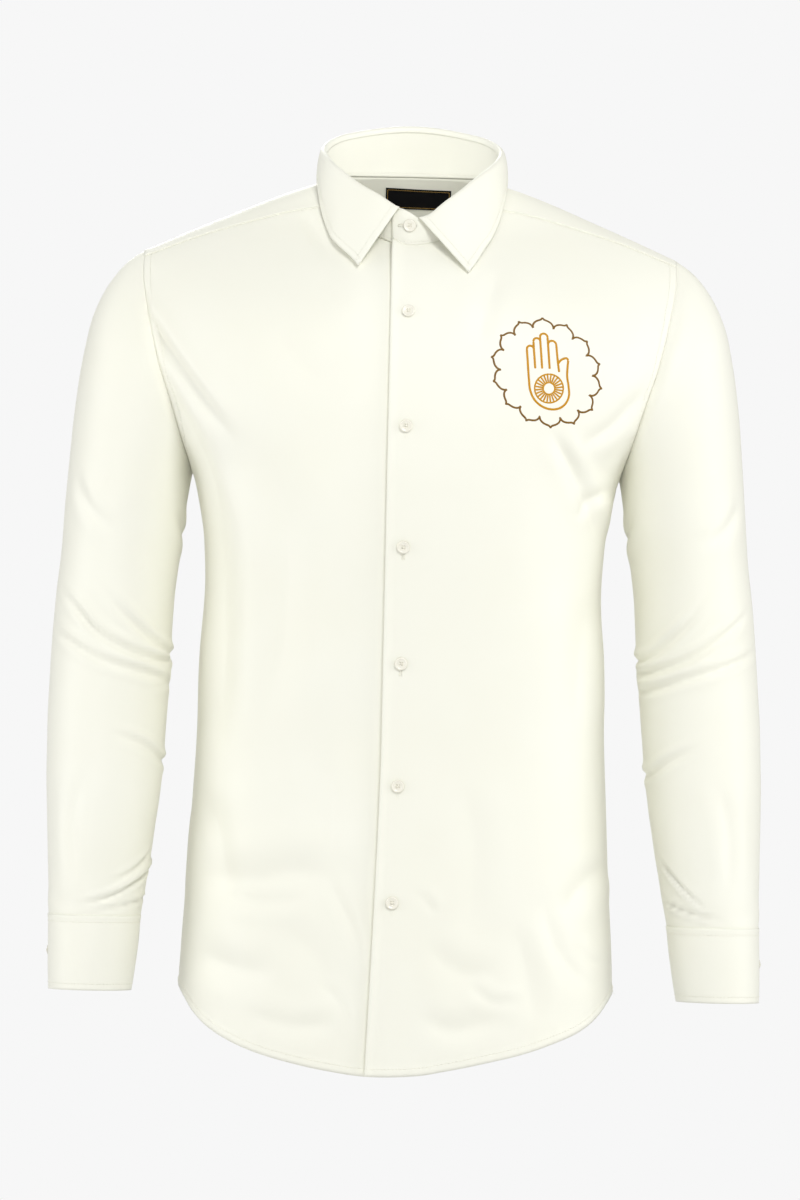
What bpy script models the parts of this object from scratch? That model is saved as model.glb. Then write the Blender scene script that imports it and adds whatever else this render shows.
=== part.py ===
# A long-sleeved dress shirt, buttoned and filled out as it is when worn.
# The frame: X to the wearer's left, Y to the back, Z up. The origin lies between the wearer's
# shoulders, level with the side of the neck, where the yoke carries the shirt.
# Sizes here are in millimetres, and MM turns them into Blender's metres.

import bpy
import bmesh
from collections import namedtuple
from math import acos, asin, cos, degrees, exp, hypot, pi, radians, sin, sqrt
from mathutils import Vector

MM = 0.001

# Driving sizes
CLOTH_WALL = 1.2
COLLAR_WALL = 1.5
SEAM_GAP = 0.35
ROUND_GAP = 0.8         # the gap on the outer face where the cloth rounds across the seam
LAP_DROP = 2.1          # how far an under layer lies below the one that laps over it
HEM_LEVEL = -753.0      # the front hem at its lowest
BACK_HEM_LEVEL = -762.0
HEM_RISE = 84.0         # the shirt-tail curve, from the lowest point up to the side seam
ARMHOLE_TOP = -57.0
ARMHOLE_BOTTOM = -246.0
BACK_YOKE_LEVEL = -95.0
NECK_HALF = 71.0        # half the width of the neck seam
NECK_FRONT_LEVEL = -50.0
NECK_BACK_LEVEL = 13.0
LAP_HALF = 16.0         # the button front reaches this far past the centre line
FRONT_ROLL = 140.0      # height over which the front rounds down from the shoulder
BACK_ROLL = 110.0
BOXINESS = 0.25         # 0 would make each body section an ellipse
SIDE_TURN = 89.9        # degrees from the centre line to a side seam
CUFF_TOP = -627.0
CUFF_BOTTOM = -691.5
CUFF_LAP = 30.0         # degrees by which a cuff laps over itself
BUTTON_RADIUS = 5.6
BUTTON_THICKNESS = 2.6
BUTTON_LEVELS = (-36.0, -107.0, -205.0, -308.0, -407.0, -511.0, -610.0)
LABEL_WIDTH = 57.0
LABEL_HEIGHT = 17.0
LABEL_SHIFT = 5.0       # it is sewn a little to the wearer's left

# Numbers of cells along the seams, shared by the pieces that meet there
NECK_CELLS = 6
FRONT_YOKE_CELLS = 11
SIDE_CELLS = 17
ARMHOLE_FRONT_CELLS = 10
ARMHOLE_BACK_CELLS = 8
ARMHOLE_YOKE_CELLS = 4
BACK_CELLS = 20

# The body's section at each level: half its width, and its depth to the front and the back
Level = namedtuple("Level", "z half front back")
BODY = [
    Level(30, 252, 38, 72),
    Level(10, 252, 46, 77),
    Level(-28, 252, 57, 90),
    Level(-50, 252, 70, 97),
    Level(-75, 251, 86, 102),
    Level(-108, 246, 103, 107),
    Level(-150, 234, 117, 111),
    Level(-200, 210, 126, 111),
    Level(-246, 183, 128, 108),
    Level(-272, 177, 127, 105),
    Level(-305, 172, 125, 101),
    Level(-345, 170, 122, 95),
    Level(-405, 173, 119, 91),
    Level(-470, 175, 118, 93),
    Level(-530, 178, 120, 98),
    Level(-590, 181, 123, 103),
    Level(-650, 185, 126, 107),
    Level(-700, 187, 128, 110),
    Level(-780, 188, 130, 112),
]

# The top line of the shoulders, seen from the front, and carried on over the neck's hollow. A row
# past the middle here, and in the collar's tables, keeps the curve smooth across it.
Ridge = namedtuple("Ridge", "x z")
SHOULDER = [
    Ridge(-30, 50), Ridge(0, 60), Ridge(30, 50), Ridge(50, 33), Ridge(62, 19), Ridge(71, 9.5), Ridge(80, 4.5),
    Ridge(96, -1), Ridge(115, -8), Ridge(155, -24.5), Ridge(187, -38), Ridge(229, -57), Ridge(262, -73),
]

# How far below that line the front yoke seam runs
Drop = namedtuple("Drop", "x below")
FRONT_YOKE_SEAM = [Drop(55, 31), Drop(63, 29), Drop(77, 22), Drop(130, 14), Drop(180, 8), Drop(229, 5)]

# The armhole seam, seen from the front and from the back
Armhole = namedtuple("Armhole", "z front back")
ARMHOLE = [
    Armhole(-246, 183, 183), Armhole(-235, 187, 186), Armhole(-214, 194, 191), Armhole(-185, 203, 199),
    Armhole(-155, 213, 207), Armhole(-140, 217, 211), Armhole(-108, 224, 219), Armhole(-73, 229, 227),
    Armhole(-57, 229, 229),
]

# The sleeve from the armhole to the cuff. Each section is an ellipse from the outer to the inner
# point, seen from the front, with half its depth, its shift along Y and how much of the armhole's
# own outline it still keeps.
Section = namedtuple("Section", "outer_x outer_z inner_x inner_z depth shift armhole")
SLEEVE = [
    Section(229.0, -57, 183.0, -246, 50, 0, 1.0),
    Section(243.0, -67, 184.0, -249.5, 54, 0, 0.85),
    Section(258.0, -85, 185.0, -255, 57, 1, 0.6),
    Section(270.5, -110, 186.0, -262, 59, 2, 0.35),
    Section(279.0, -145, 187.5, -272, 60, 3, 0.15),
    Section(285.5, -190, 189.5, -287, 60, 4, 0.0),
    Section(289.5, -235, 191.5, -305, 59, 4, 0.0),
    Section(293.0, -280, 195.0, -326, 58, 4, 0.0),
    Section(296.0, -318, 198.0, -350, 57, 3, 0.0),
    Section(300.0, -350, 199.5, -369, 56, 1, 0.0),
    Section(302.5, -376, 200.5, -388, 55, -1, 0.0),
    Section(304.5, -402, 201.5, -408, 55, -4, 0.0),
    Section(306.0, -428, 203.0, -429, 54, -7, 0.0),
    Section(307.5, -455, 205.0, -455, 53, -10, 0.0),
    Section(308.0, -482, 207.0, -482, 52, -13, 0.0),
    Section(308.5, -510, 209.5, -510, 51, -16, 0.0),
    Section(308.0, -538, 213.0, -538, 49, -19, 0.0),
    Section(307.5, -565, 217.0, -565, 47, -22, 0.0),
    Section(307.0, -588, 221.0, -588, 45, -24, 0.0),
    Section(306.5, -606, 224.0, -606, 43, -26, 0.0),
    Section(306.5, -618, 226.0, -618, 41, -27, 0.0),
    Section(306.5, CUFF_TOP, 227.5, CUFF_TOP, 40, -28, 0.0),
]
CUFF = [
    Section(306.8, CUFF_TOP - SEAM_GAP, 227.3, CUFF_TOP - SEAM_GAP, 40.3, -28, 0.0),
    Section(307.0, -648, 229.0, -648, 40.3, -29, 0.0),
    Section(307.3, -670, 232.0, -670, 39.7, -30, 0.0),
    Section(307.0, CUFF_BOTTOM, 235.5, CUFF_BOTTOM, 38.7, -31, 0.0),
]

# The collar by the turn from the centre front: the fold line's height, and the leaf's outer edge
# as its distance to the side and its roll over the shoulder (minus in front of the shoulder line).
Fold = namedtuple("Fold", "turn z")
COLLAR_FOLD = [
    Fold(-30, -19), Fold(0, -26.5), Fold(8, -26), Fold(25, -13), Fold(46, 6), Fold(68, 20), Fold(90, 30),
    Fold(135, 46), Fold(180, 53.5), Fold(225, 46),
]
Edge = namedtuple("Edge", "turn x roll lift")
LEAF_EDGE = [
    Edge(5, 48, -75.5, 5), Edge(30, 61, -62, 6), Edge(50, 71, -50, 6), Edge(70, 78, -34, 5),
    Edge(90, 81.5, -8, 4), Edge(100, 81, 7, 4), Edge(110, 78, 15, 4), Edge(120, 72, 22.5, 5),
    Edge(130, 63, 31, 5), Edge(140, 51, 41, 6), Edge(150, 37, 49.5, 7), Edge(165, 18, 57, 8),
    Edge(180, 0, 59.5, 8), Edge(195, -18, 57, 8),
]
LEAF_STARTS = (5.0, 8.0)    # degrees from the centre front to the leaf's two ends, the wearer's left first
LEAF_CELLS = 44
# The leaf's way over its fold, as steps out from and up from the stand's top edge
LEAF_FOLD = [(-1.5, SEAM_GAP + 0.35), (-1.3, 2.4), (0.4, 4.0), (2.6, 3.4), (4.0, 1.2)]
STAND_START = -13.0     # degrees past the centre front to the stand's upper end
STAND_HALF = 75.5       # half the width of the stand's top edge, and its depths
STAND_FRONT = 65.0
STAND_BACK = 60.0
SHOULDER_TURN = 118.0   # the yoke's grid changes here from shoulder cells to back cells
# A lap's under layer drops away over a run between a start and a length
FRONT_LAP_RUN = (-52.0, 28.0)   # mm from the centre line
STAND_LAP_RUN = (318.0, 24.0)   # degrees round the neck
CUFF_LAP_RUN = (300.0, 55.0)    # degrees round the cuff from its upper end
STAND_CORNER = (166.0, 26.0, 9.0)   # the stand's rounded front ends: start, run and drop

# Large folds, each a trough along a line with a swell on its left as the line runs. On the body a
# row of the line is x and z seen from the front. On a sleeve it is the turn from the outer side
# round the front, in degrees, and z.
Crease = namedtuple("Crease", "width depth swell line")
FRONT_RIGHT_FOLDS = [
    Crease(11, 2.6, 1.6, [(-222, -114), (-187, -159), (-155, -190), (-128, -218)]),
    Crease(9, 3.2, 2.4, [(-211, -150), (-196, -191), (-182, -212), (-160, -239), (-153, -270)]),
    Crease(16, 2.4, 1.4, [(-166, -335), (-152, -390), (-145, -450)]),
    Crease(12, 2.0, 1.2, [(-60, -590), (-50, -604), (-34, -632), (-24, -660)]),
    Crease(14, 2.4, 1.4, [(-168, -655), (-140, -672), (-104, -690)]),
]
FRONT_LEFT_FOLDS = [
    Crease(12, 3.2, 2.6, [(128, -208), (140, -236), (158, -272), (166, -310)]),
    Crease(14, 2.2, 1.2, [(196, -176), (172, -204), (150, -216)]),
    Crease(18, 2.0, 1.2, [(160, -330), (148, -400), (146, -470)]),
    Crease(14, 2.2, 1.6, [(124, -596), (146, -634), (170, -660)]),
    Crease(13, 2.0, 1.4, [(6, -716), (40, -738), (90, -722)]),
]
BACK_FOLDS = [
    Crease(16, 3.0, 2.0, [(-188, -190), (-160, -236), (-146, -300)]),
    Crease(15, 2.6, 1.8, [(186, -196), (160, -250), (150, -312)]),
    Crease(24, 3.0, 2.2, [(-120, -340), (-60, -372), (14, -366)]),
    Crease(22, 2.6, 1.8, [(118, -352), (70, -392), (4, -404)]),
    Crease(26, 2.4, 1.6, [(-70, -150), (-84, -240), (-76, -320)]),
    Crease(24, 2.2, 1.6, [(72, -160), (90, -236), (84, -300)]),
    Crease(26, 3.0, 2.0, [(-96, -520), (-104, -620), (-92, -730)]),
    Crease(24, 2.6, 2.0, [(80, -540), (94, -640), (88, -720)]),
]
RIGHT_SLEEVE_FOLDS = [
    Crease(7, 2.6, 2.0, [(20, -346), (53, -365), (75, -383), (105, -398), (155, -409), (205, -404)]),
    Crease(7, 2.2, 1.8, [(8, -378), (50, -394), (85, -409), (122, -418), (160, -426), (200, -432)]),
    Crease(7, 2.2, 1.6, [(70, -340), (106, -372), (130, -388), (180, -403), (230, -392), (270, -360)]),
    Crease(8, 2.0, 1.4, [(92, -470), (124, -478), (180, -495), (220, -486)]),
    Crease(6, 2.0, 1.4, [(80, -622), (117, -609), (180, -590), (225, -596)]),
    Crease(10, 2.4, 1.8, [(60, -96), (96, -150), (128, -204)]),
    Crease(9, 2.4, 1.8, [(200, -420), (250, -402), (300, -384)]),
    Crease(9, 2.0, 1.6, [(190, -446), (240, -440), (290, -452)]),
    Crease(14, 2.4, 1.6, [(240, -180), (256, -260), (250, -330)]),
    Crease(7, 1.8, 1.2, [(210, -560), (232, -590), (240, -620)]),
]
LEFT_SLEEVE_FOLDS = [
    Crease(7, 2.6, 2.0, [(16, -350), (55, -373), (91, -394), (156, -411), (204, -404)]),
    Crease(7, 2.4, 1.8, [(2, -385), (52, -401), (98, -414), (141, -425), (190, -428)]),
    Crease(7, 2.2, 1.6, [(71, -338), (96, -366), (157, -401), (215, -392), (262, -366)]),
    Crease(8, 2.2, 1.6, [(88, -470), (120, -483), (158, -498), (214, -494)]),
    Crease(6, 2.0, 1.4, [(156, -574), (128, -592), (100, -612)]),
    Crease(6, 2.0, 1.4, [(160, -606), (120, -614), (78, -624)]),
    Crease(10, 2.2, 1.8, [(66, -100), (100, -150), (126, -200)]),
    Crease(9, 2.4, 1.8, [(206, -424), (254, -406), (304, -390)]),
    Crease(13, 2.4, 1.6, [(236, -190), (252, -262), (246, -334)]),
    Crease(8, 1.8, 1.4, [(206, -548), (226, -580), (238, -616)]),
]
# Each arm swings out from a level downwards, by so much at the reach below it. Minus is inwards.
Swing = namedtuple("Swing", "level reach out")
LEFT_SWING = Swing(-400, 255, 4.3)
RIGHT_SWING = Swing(-275, 380, -8.6)
SLEEVE_RADIUS = 52.0    # turns a sleeve crease's degrees into a distance along the cloth

Finish = namedtuple("Finish", "color roughness")
FINISHES = {
    "ivory_cotton": Finish((0.93, 0.92, 0.85), 0.62),
    "pearl_button": Finish((0.94, 0.93, 0.88), 0.22),
    "woven_label": Finish((0.02, 0.02, 0.025), 0.7),
}


def clear_scene():
    for obj in list(bpy.data.objects):
        bpy.data.objects.remove(obj, do_unlink=True)


def make_material(name):
    finish = FINISHES[name]
    material = bpy.data.materials.new(name)
    material.use_nodes = True
    shader = material.node_tree.nodes["Principled BSDF"]
    shader.inputs["Base Color"].default_value = (*finish.color, 1.0)
    shader.inputs["Roughness"].default_value = finish.roughness
    shader.inputs["Metallic"].default_value = 0.0
    return material


def smooth_column(rows, column):
    """A smooth function of the first column that passes through the given column of each row."""
    rows = sorted(rows, key=lambda row: row[0])
    keys = [row[0] for row in rows]
    values = [getattr(row, column) for row in rows]
    rises = [(values[i + 1] - values[i]) / (keys[i + 1] - keys[i]) for i in range(len(keys) - 1)]
    slopes = [rises[0]]
    for left, right in zip(rises, rises[1:]):
        slopes.append(0.0 if left * right <= 0 else 2 * left * right / (left + right))
    slopes.append(rises[-1])

    def value(at):
        at = min(max(at, keys[0]), keys[-1])
        i = 0
        while i < len(keys) - 2 and at > keys[i + 1]:
            i += 1
        span = keys[i + 1] - keys[i]
        t = (at - keys[i]) / span
        return (
            (1 + 2 * t) * (1 - t) ** 2 * values[i]
            + t * (1 - t) ** 2 * span * slopes[i]
            + t * t * (3 - 2 * t) * values[i + 1]
            + t * t * (t - 1) * span * slopes[i + 1]
        )

    return value


half_width = smooth_column(BODY, "half")
front_depth = smooth_column(BODY, "front")
back_depth = smooth_column(BODY, "back")
ridge_level = smooth_column(SHOULDER, "z")
yoke_drop = smooth_column(FRONT_YOKE_SEAM, "below")
armhole_front = smooth_column(ARMHOLE, "front")
armhole_back = smooth_column(ARMHOLE, "back")
fold_level = smooth_column(COLLAR_FOLD, "z")
leaf_x = smooth_column(LEAF_EDGE, "x")
leaf_roll = smooth_column(LEAF_EDGE, "roll")
leaf_lift = smooth_column(LEAF_EDGE, "lift")


def mix(a, b, t):
    return a + (b - a) * t


def ease(t):
    t = min(max(t, 0.0), 1.0)
    return t * t * (3 - 2 * t)


# The body's surface

def section_shape(x, z):
    """1 on the centre line and 0 at the side of the body's section at this level."""
    s = min(abs(x) / half_width(z), 1.0)
    return sqrt(1 - s * s) * (1 + BOXINESS * s * s)


def shoulder_shape(below, roll_height):
    """0 on the shoulder line, 1 once the surface has rounded over it."""
    c = min(max(below / roll_height, 0.0), 1.0)
    return sqrt(1 - (1 - c) ** 2)


def body_point(x, z, back=False):
    """The body's surface at a place seen from the front, on its near or its far side."""
    below = ridge_level(abs(x)) - z
    if back:
        y = back_depth(z) * section_shape(x, z) * shoulder_shape(below, BACK_ROLL)
    else:
        y = -front_depth(z) * section_shape(x, z) * shoulder_shape(below, FRONT_ROLL)
    return Vector((x, y, z))


def roll_of(x, z, back):
    """The angle over the shoulder line at which the surface reaches the level z, minus in front."""
    height = BACK_ROLL if back else FRONT_ROLL
    c = max(ridge_level(abs(x)) - z, 0.0) / height
    angle = acos(1 - c) if c <= 1 else pi / 2 + c - 1
    return angle if back else -angle


def rolled_point(x, roll):
    back = roll >= 0
    height = BACK_ROLL if back else FRONT_ROLL
    angle = abs(roll)
    below = height * (1 - cos(angle)) if angle <= pi / 2 else height * (1 + angle - pi / 2)
    return body_point(x, ridge_level(abs(x)) - below, back)


def outward(surface, a, b, step=0.5):
    """The unit normal of surface(a, b), turned away from the body's middle."""
    point = surface(a, b)
    along = surface(a + step, b) - surface(a - step, b)
    across = surface(a, b + step) - surface(a, b - step)
    normal = along.cross(across).normalized()
    away = Vector((point.x * 0.6, point.y, 30.0 if point.z > -90 else 0.0))
    return normal if normal.dot(away) > 0 else -normal


def crease_relief(folds, a, b, scale_a=1.0):
    """The height over the plain surface that a list of creases gives at (a, b)."""
    total = 0.0
    for fold in folds:
        line = [(p[0] * scale_a, p[1]) for p in fold.line]
        lengths = [hypot(q[0] - p[0], q[1] - p[1]) for p, q in zip(line, line[1:])]
        best = None
        run = 0.0
        for (p, q), length in zip(zip(line, line[1:]), lengths):
            dx, dy = (q[0] - p[0]) / length, (q[1] - p[1]) / length
            ox, oy = a * scale_a - p[0], b - p[1]
            t = min(max(ox * dx + oy * dy, 0.0), length)
            gap = hypot(ox - t * dx, oy - t * dy)
            if best is None or gap < best[0]:
                side = dx * oy - dy * ox
                best = (gap, gap if side > 0 else -gap, run + t)
            run += length
        gap, signed, place = best
        if gap > 5 * fold.width:
            continue
        share = place / run
        fade = ease(min(share, 1 - share) / 0.3 + 0.15)
        trough = exp(-((gap / fold.width) ** 2))
        swell = exp(-(((signed - 1.9 * fold.width) / (1.3 * fold.width)) ** 2))
        total += fade * (fold.swell * swell - fold.depth * trough)
    return total


def hem_level(x, z_low):
    """The shirt-tail hem: lowest at the centre, rising to the side seams in a rounded arch."""
    t = degrees(asin(min(abs(x) / half_width(z_low + 40), 1.0))) / 90
    flat = 0.8
    if t > flat:
        over = (t - flat) / (1 - flat)
        rise = flat * flat + 2 * flat * (1 - flat) * (over - over * over / 2)
    else:
        rise = t * t
    return z_low + HEM_RISE * rise


# The seams, as places seen from the front

def neck_place(turn):
    """The neck seam at a turn from the centre front, in degrees: (x, z, whether it is behind)."""
    turn = (turn + 180) % 360 - 180
    x = NECK_HALF * sin(radians(turn))
    side = ridge_level(NECK_HALF)
    c = cos(radians(turn))
    if c > 0:
        return x, side + (NECK_FRONT_LEVEL - side) * c ** 1.4, False
    return x, side + (NECK_BACK_LEVEL - side) * -c, True


def yoke_seam_turn():
    """The turn at which the front yoke seam meets the neck seam."""
    low, high = 30.0, 89.0
    for _ in range(40):
        turn = (low + high) / 2
        x, z, _back = neck_place(turn)
        if ridge_level(x) - z > yoke_drop(x):
            low = turn
        else:
            high = turn
    return turn


def armhole_level(turn):
    middle = (ARMHOLE_TOP + ARMHOLE_BOTTOM) / 2
    return middle + (ARMHOLE_TOP - ARMHOLE_BOTTOM) / 2 * cos(radians(turn))


def armhole_place(turn):
    """The armhole at a turn from its top round the front, in degrees: (x, z, whether behind)."""
    turn = turn % 360
    z = armhole_level(turn)
    back = turn > 180
    return (armhole_back if back else armhole_front)(z), z, back


def armhole_turn(level_or_drop, back):
    """The turn at which the armhole meets the back yoke seam's level or the front yoke seam."""
    low, high = 0.0, 150.0
    for _ in range(40):
        turn = (low + high) / 2
        x, z, _side = armhole_place(360 - turn if back else turn)
        reached = z < level_or_drop if back else ridge_level(x) - z > level_or_drop
        if reached:
            high = turn
        else:
            low = turn
    return turn


YOKE_NECK_TURN = yoke_seam_turn()
FRONT_ARMHOLE_TURN = armhole_turn(yoke_drop(229), False)
BACK_ARMHOLE_TURN = armhole_turn(BACK_YOKE_LEVEL, True)


def steps(start, end, count):
    return [mix(start, end, i / count) for i in range(count + 1)]


def armhole_turns():
    """The turns of the points round an armhole, which the panels, the yoke and the sleeve share."""
    front = steps(FRONT_ARMHOLE_TURN, 180, ARMHOLE_FRONT_CELLS)
    back = steps(180, 360 - BACK_ARMHOLE_TURN, ARMHOLE_BACK_CELLS)
    yoke = steps(360 - BACK_ARMHOLE_TURN, 360 + FRONT_ARMHOLE_TURN, ARMHOLE_YOKE_CELLS)
    return front, back, yoke


# Meshes

def grid_object(name, rows, material, wall, closed=False, center=None):
    """A sheet through a grid of points in millimetres, thickened to the inner side."""
    bm = bmesh.new()
    verts = [[bm.verts.new(p * MM) for p in row] for row in rows]
    for near, far in zip(verts, verts[1:]):
        columns = len(near) if closed else len(near) - 1
        for j in range(columns):
            k = (j + 1) % len(near)
            bm.faces.new((near[j], near[k], far[k], far[j]))
    bm.normal_update()
    facing = 0.0
    for face in bm.faces:
        middle = face.calc_center_median()
        axis = center(middle.z / MM) * MM if center else Vector((0, 0, middle.z))
        facing += face.normal.dot((middle - axis).normalized()) * face.calc_area()
    if facing < 0:
        bmesh.ops.reverse_faces(bm, faces=bm.faces[:])
    mesh = bpy.data.meshes.new(name)
    bm.to_mesh(mesh)
    bm.free()
    mesh.shade_smooth()
    obj = bpy.data.objects.new(name, mesh)
    parts.objects.link(obj)
    obj.data.materials.append(material)
    solid = obj.modifiers.new("wall", "SOLIDIFY")
    solid.thickness = wall * MM
    solid.offset = -1.0
    return obj


def coons(bottom, top, left, right, across, along):
    """The places of a patch between four edges. Each edge is a list of (turn or x, z)."""
    rows = []
    for j, v in enumerate(along):
        row = []
        for i, u in enumerate(across):
            place = []
            for k in (0, 1):
                edges = mix(bottom[i][k], top[i][k], v) + mix(left[j][k], right[j][k], u)
                corners = mix(mix(bottom[0][k], bottom[-1][k], u), mix(top[0][k], top[-1][k], u), v)
                place.append(edges - corners)
            row.append(place)
        rows.append(row)
    return rows


def lap_inset(x):
    """How far the wearer's right front lies below the left one, near the centre line."""
    start, run = FRONT_LAP_RUN
    return LAP_DROP * ease((x - start) / run)


def seam_calm(x, z, angle, armhole):
    """0 on the side seam and the armhole seam, where creases die out, and 1 away from them."""
    calm = min(1.0, (cos(angle) / 0.12) ** 2)
    if z > ARMHOLE_BOTTOM - 12:
        calm *= ease((armhole(z) - abs(x)) / 16)
    return calm


def turn_of(x, z):
    return asin(min(max(x / half_width(z), -1.0), 1.0))


def make_front(name, side, folds, material):
    """side is 1 for the wearer's left front, which laps over, and -1 for the right one."""
    lap_turn = degrees(asin(LAP_HALF / NECK_HALF))
    top = []
    for turn in steps(-lap_turn, YOKE_NECK_TURN - ROUND_GAP, NECK_CELLS):
        x, z, _back = neck_place(turn)
        top.append((x, z))
    front_turns, _back_turns, _yoke_turns = armhole_turns()
    front_turns[0] += ROUND_GAP * 1.2
    end_x, end_z, _back = armhole_place(front_turns[0])
    start_x = top[-1][0]
    for i in range(1, FRONT_YOKE_CELLS):
        x = mix(start_x, end_x, i / FRONT_YOKE_CELLS)
        top.append((x, ridge_level(x) - yoke_drop(x) - ROUND_GAP))
    top.append((end_x, end_z))
    cells = NECK_CELLS + FRONT_YOKE_CELLS
    across = [i / cells for i in range(cells + 1)]
    count = SIDE_CELLS + ARMHOLE_FRONT_CELLS
    along = [j / count for j in range(count + 1)]
    low_x = -LAP_HALF
    bottom = []
    for u in across:
        angle = mix(turn_of(low_x, HEM_LEVEL), radians(SIDE_TURN), u)
        x = half_width(HEM_LEVEL) * sin(angle)
        bottom.append((x, hem_level(x, HEM_LEVEL)))
    left = [(low_x, mix(HEM_LEVEL, top[0][1], v)) for v in along]
    right = []
    for z in steps(bottom[-1][1], ARMHOLE_BOTTOM, SIDE_CELLS)[:-1]:
        right.append((half_width(z) * sin(radians(SIDE_TURN)), z))
    for turn in reversed(front_turns):
        x, z, _back = armhole_place(turn)
        right.append((min(x, half_width(z) * sin(radians(SIDE_TURN))), z))

    def as_turns(places):
        return [(turn_of(x, z), z) for x, z in places]

    patch = coons(as_turns(bottom), as_turns(top), as_turns(left), as_turns(right), across, along)
    rows = []
    for line in patch:
        row = []
        for angle, z in line:
            x = half_width(z) * sin(angle)
            point = body_point(x, z)
            normal = outward(body_point, x * 0.999, z - 1)
            edge = seam_calm(x, z, angle, armhole_front)
            inset = lap_inset(-x) if side < 0 else 0.0
            height = crease_relief(folds, side * x, z) * edge
            point += normal * (height * ease((abs(x) - LAP_HALF) / 25 + 0.3) - inset)
            row.append(Vector((side * point.x, point.y, point.z)))
        rows.append(row)
    return grid_object(name, rows, material, CLOTH_WALL)


def make_back(material):
    _front_turns, back_turns, _yoke_turns = armhole_turns()
    end_x, end_z, _back = armhole_place(back_turns[-1])
    across = [i / BACK_CELLS for i in range(BACK_CELLS + 1)]
    count = SIDE_CELLS + ARMHOLE_BACK_CELLS
    along = [j / count for j in range(count + 1)]
    side = radians(SIDE_TURN)
    side_low = hem_level(half_width(HEM_LEVEL), HEM_LEVEL)
    bottom = []
    for u in across:
        x = half_width(BACK_HEM_LEVEL) * sin(mix(-side, side, u))
        z = hem_level(x, BACK_HEM_LEVEL)
        bottom.append((x, z))
    low_shift = side_low - bottom[0][1]
    bottom = [(x, z + low_shift * (abs(x) / half_width(z)) ** 6) for x, z in bottom]
    top = [(mix(-end_x, end_x, u), end_z - ROUND_GAP) for u in across]
    right = [(half_width(z) * sin(side), z) for z in steps(side_low, ARMHOLE_BOTTOM, SIDE_CELLS)[:-1]]
    for turn in back_turns[:-1]:
        x, z, _back = armhole_place(turn)
        right.append((min(x, half_width(z) * sin(side)), z))
    right.append(top[-1])
    left = [(-x, z) for x, z in right]

    def as_turns(places):
        return [(turn_of(x, z), z) for x, z in places]

    patch = coons(as_turns(bottom), as_turns(top), as_turns(left), as_turns(right), across, along)
    rows = []
    for line in patch:
        row = []
        for angle, z in line:
            x = half_width(z) * sin(angle)
            point = body_point(x, z, True)
            normal = outward(lambda a, b: body_point(a, b, True), x * 0.999, z - 1)
            edge = seam_calm(x, z, angle, armhole_back) * ease((BACK_YOKE_LEVEL - z) / 60)
            row.append(point + normal * crease_relief(BACK_FOLDS, x, z) * edge)
        rows.append(row)
    return grid_object("back", rows, material, CLOTH_WALL)


def yoke_edges():
    """The yoke's neck edge and outer edge as matching lists of (x, roll), from front seam to front seam."""
    _front, _back, yoke_turns = armhole_turns()
    half_back = BACK_CELLS // 2
    shoulder_turns = steps(YOKE_NECK_TURN, SHOULDER_TURN, ARMHOLE_YOKE_CELLS)
    back_turns = steps(SHOULDER_TURN, 180, half_back)
    inner = []
    for turn in shoulder_turns + back_turns[1:]:
        x, z, back = neck_place(turn)
        inner.append((x, roll_of(x, z, back)))
    outer = []
    for turn in reversed(yoke_turns):
        x, z, back = armhole_place(turn)
        outer.append((x, roll_of(x, z, back)))
    end_x, end_z, _back = armhole_place(yoke_turns[0])
    for i in range(1, half_back + 1):
        x = end_x * (1 - i / half_back)
        outer.append((x, roll_of(x, end_z, True)))
    return inner, outer


def make_yoke(material):
    inner, outer = yoke_edges()
    half = []
    for near, far in zip(inner, outer):
        line = []
        for share in steps(0.0, 1.0, FRONT_YOKE_CELLS):
            line.append(rolled_point(mix(near[0], far[0], share), mix(near[1], far[1], share)))
        half.append(line)
    # The front edge follows the front yoke seam, point for point as on the front panels.
    start_x, end_x = inner[0][0], outer[0][0]
    for i in range(1, FRONT_YOKE_CELLS):
        x = mix(start_x, end_x, i / FRONT_YOKE_CELLS)
        half[0][i] = body_point(x, ridge_level(x) - yoke_drop(x))
    left = [[Vector((-p.x, p.y, p.z)) for p in line] for line in reversed(half[:-1])]
    return grid_object("yoke", half + left, material, CLOTH_WALL, center=lambda z: Vector((0, 0, -120)))


def section_point(section, turn):
    c, s = cos(radians(turn)), sin(radians(turn))
    x = (section.outer_x + section.inner_x) / 2 + (section.outer_x - section.inner_x) / 2 * c
    z = (section.outer_z + section.inner_z) / 2 + (section.outer_z - section.inner_z) / 2 * c
    return Vector((x, section.shift - section.depth * s, z))


def sleeve_turns():
    front, back, yoke = armhole_turns()
    return front[:-1] + back[:-1] + yoke[:-1]


def sleeve_middle(z):
    rows = sorted(SLEEVE + CUFF, key=lambda row: row.outer_z + row.inner_z)
    best = min(rows, key=lambda row: abs((row.outer_z + row.inner_z) / 2 - z))
    return Vector(((best.outer_x + best.inner_x) / 2, best.shift, z))


def sleeve_rows(folds):
    """The points of the wearer's left sleeve, before it is mirrored for the right one."""
    turns = sleeve_turns()
    rows = []
    for section in SLEEVE:
        row = []
        for turn in turns:
            point = section_point(section, turn)
            if section.armhole:
                x, z, back = armhole_place(turn)
                seam = body_point(x, z, back)
                point += (seam - section_point(SLEEVE[0], turn)) * section.armhole
            middle = section_point(section, 0).lerp(section_point(section, 180), 0.5)
            away = (point - middle).normalized()
            drop = point.z
            calm = 1 - section.armhole if section.armhole > 0.2 else 1.0
            end = ease((point.z - CUFF_TOP) / 16)
            height = crease_relief(folds, turn % 360, drop, radians(1) * SLEEVE_RADIUS)
            row.append(point + away * height * calm * end)
        rows.append(row)
    # The seam stays open by a hair, so the first ring steps away from the armhole.
    for j, point in enumerate(rows[0]):
        toward = (rows[1][j] - point).normalized()
        rows[0][j] = point + toward * ROUND_GAP * 1.2
    return rows


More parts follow.
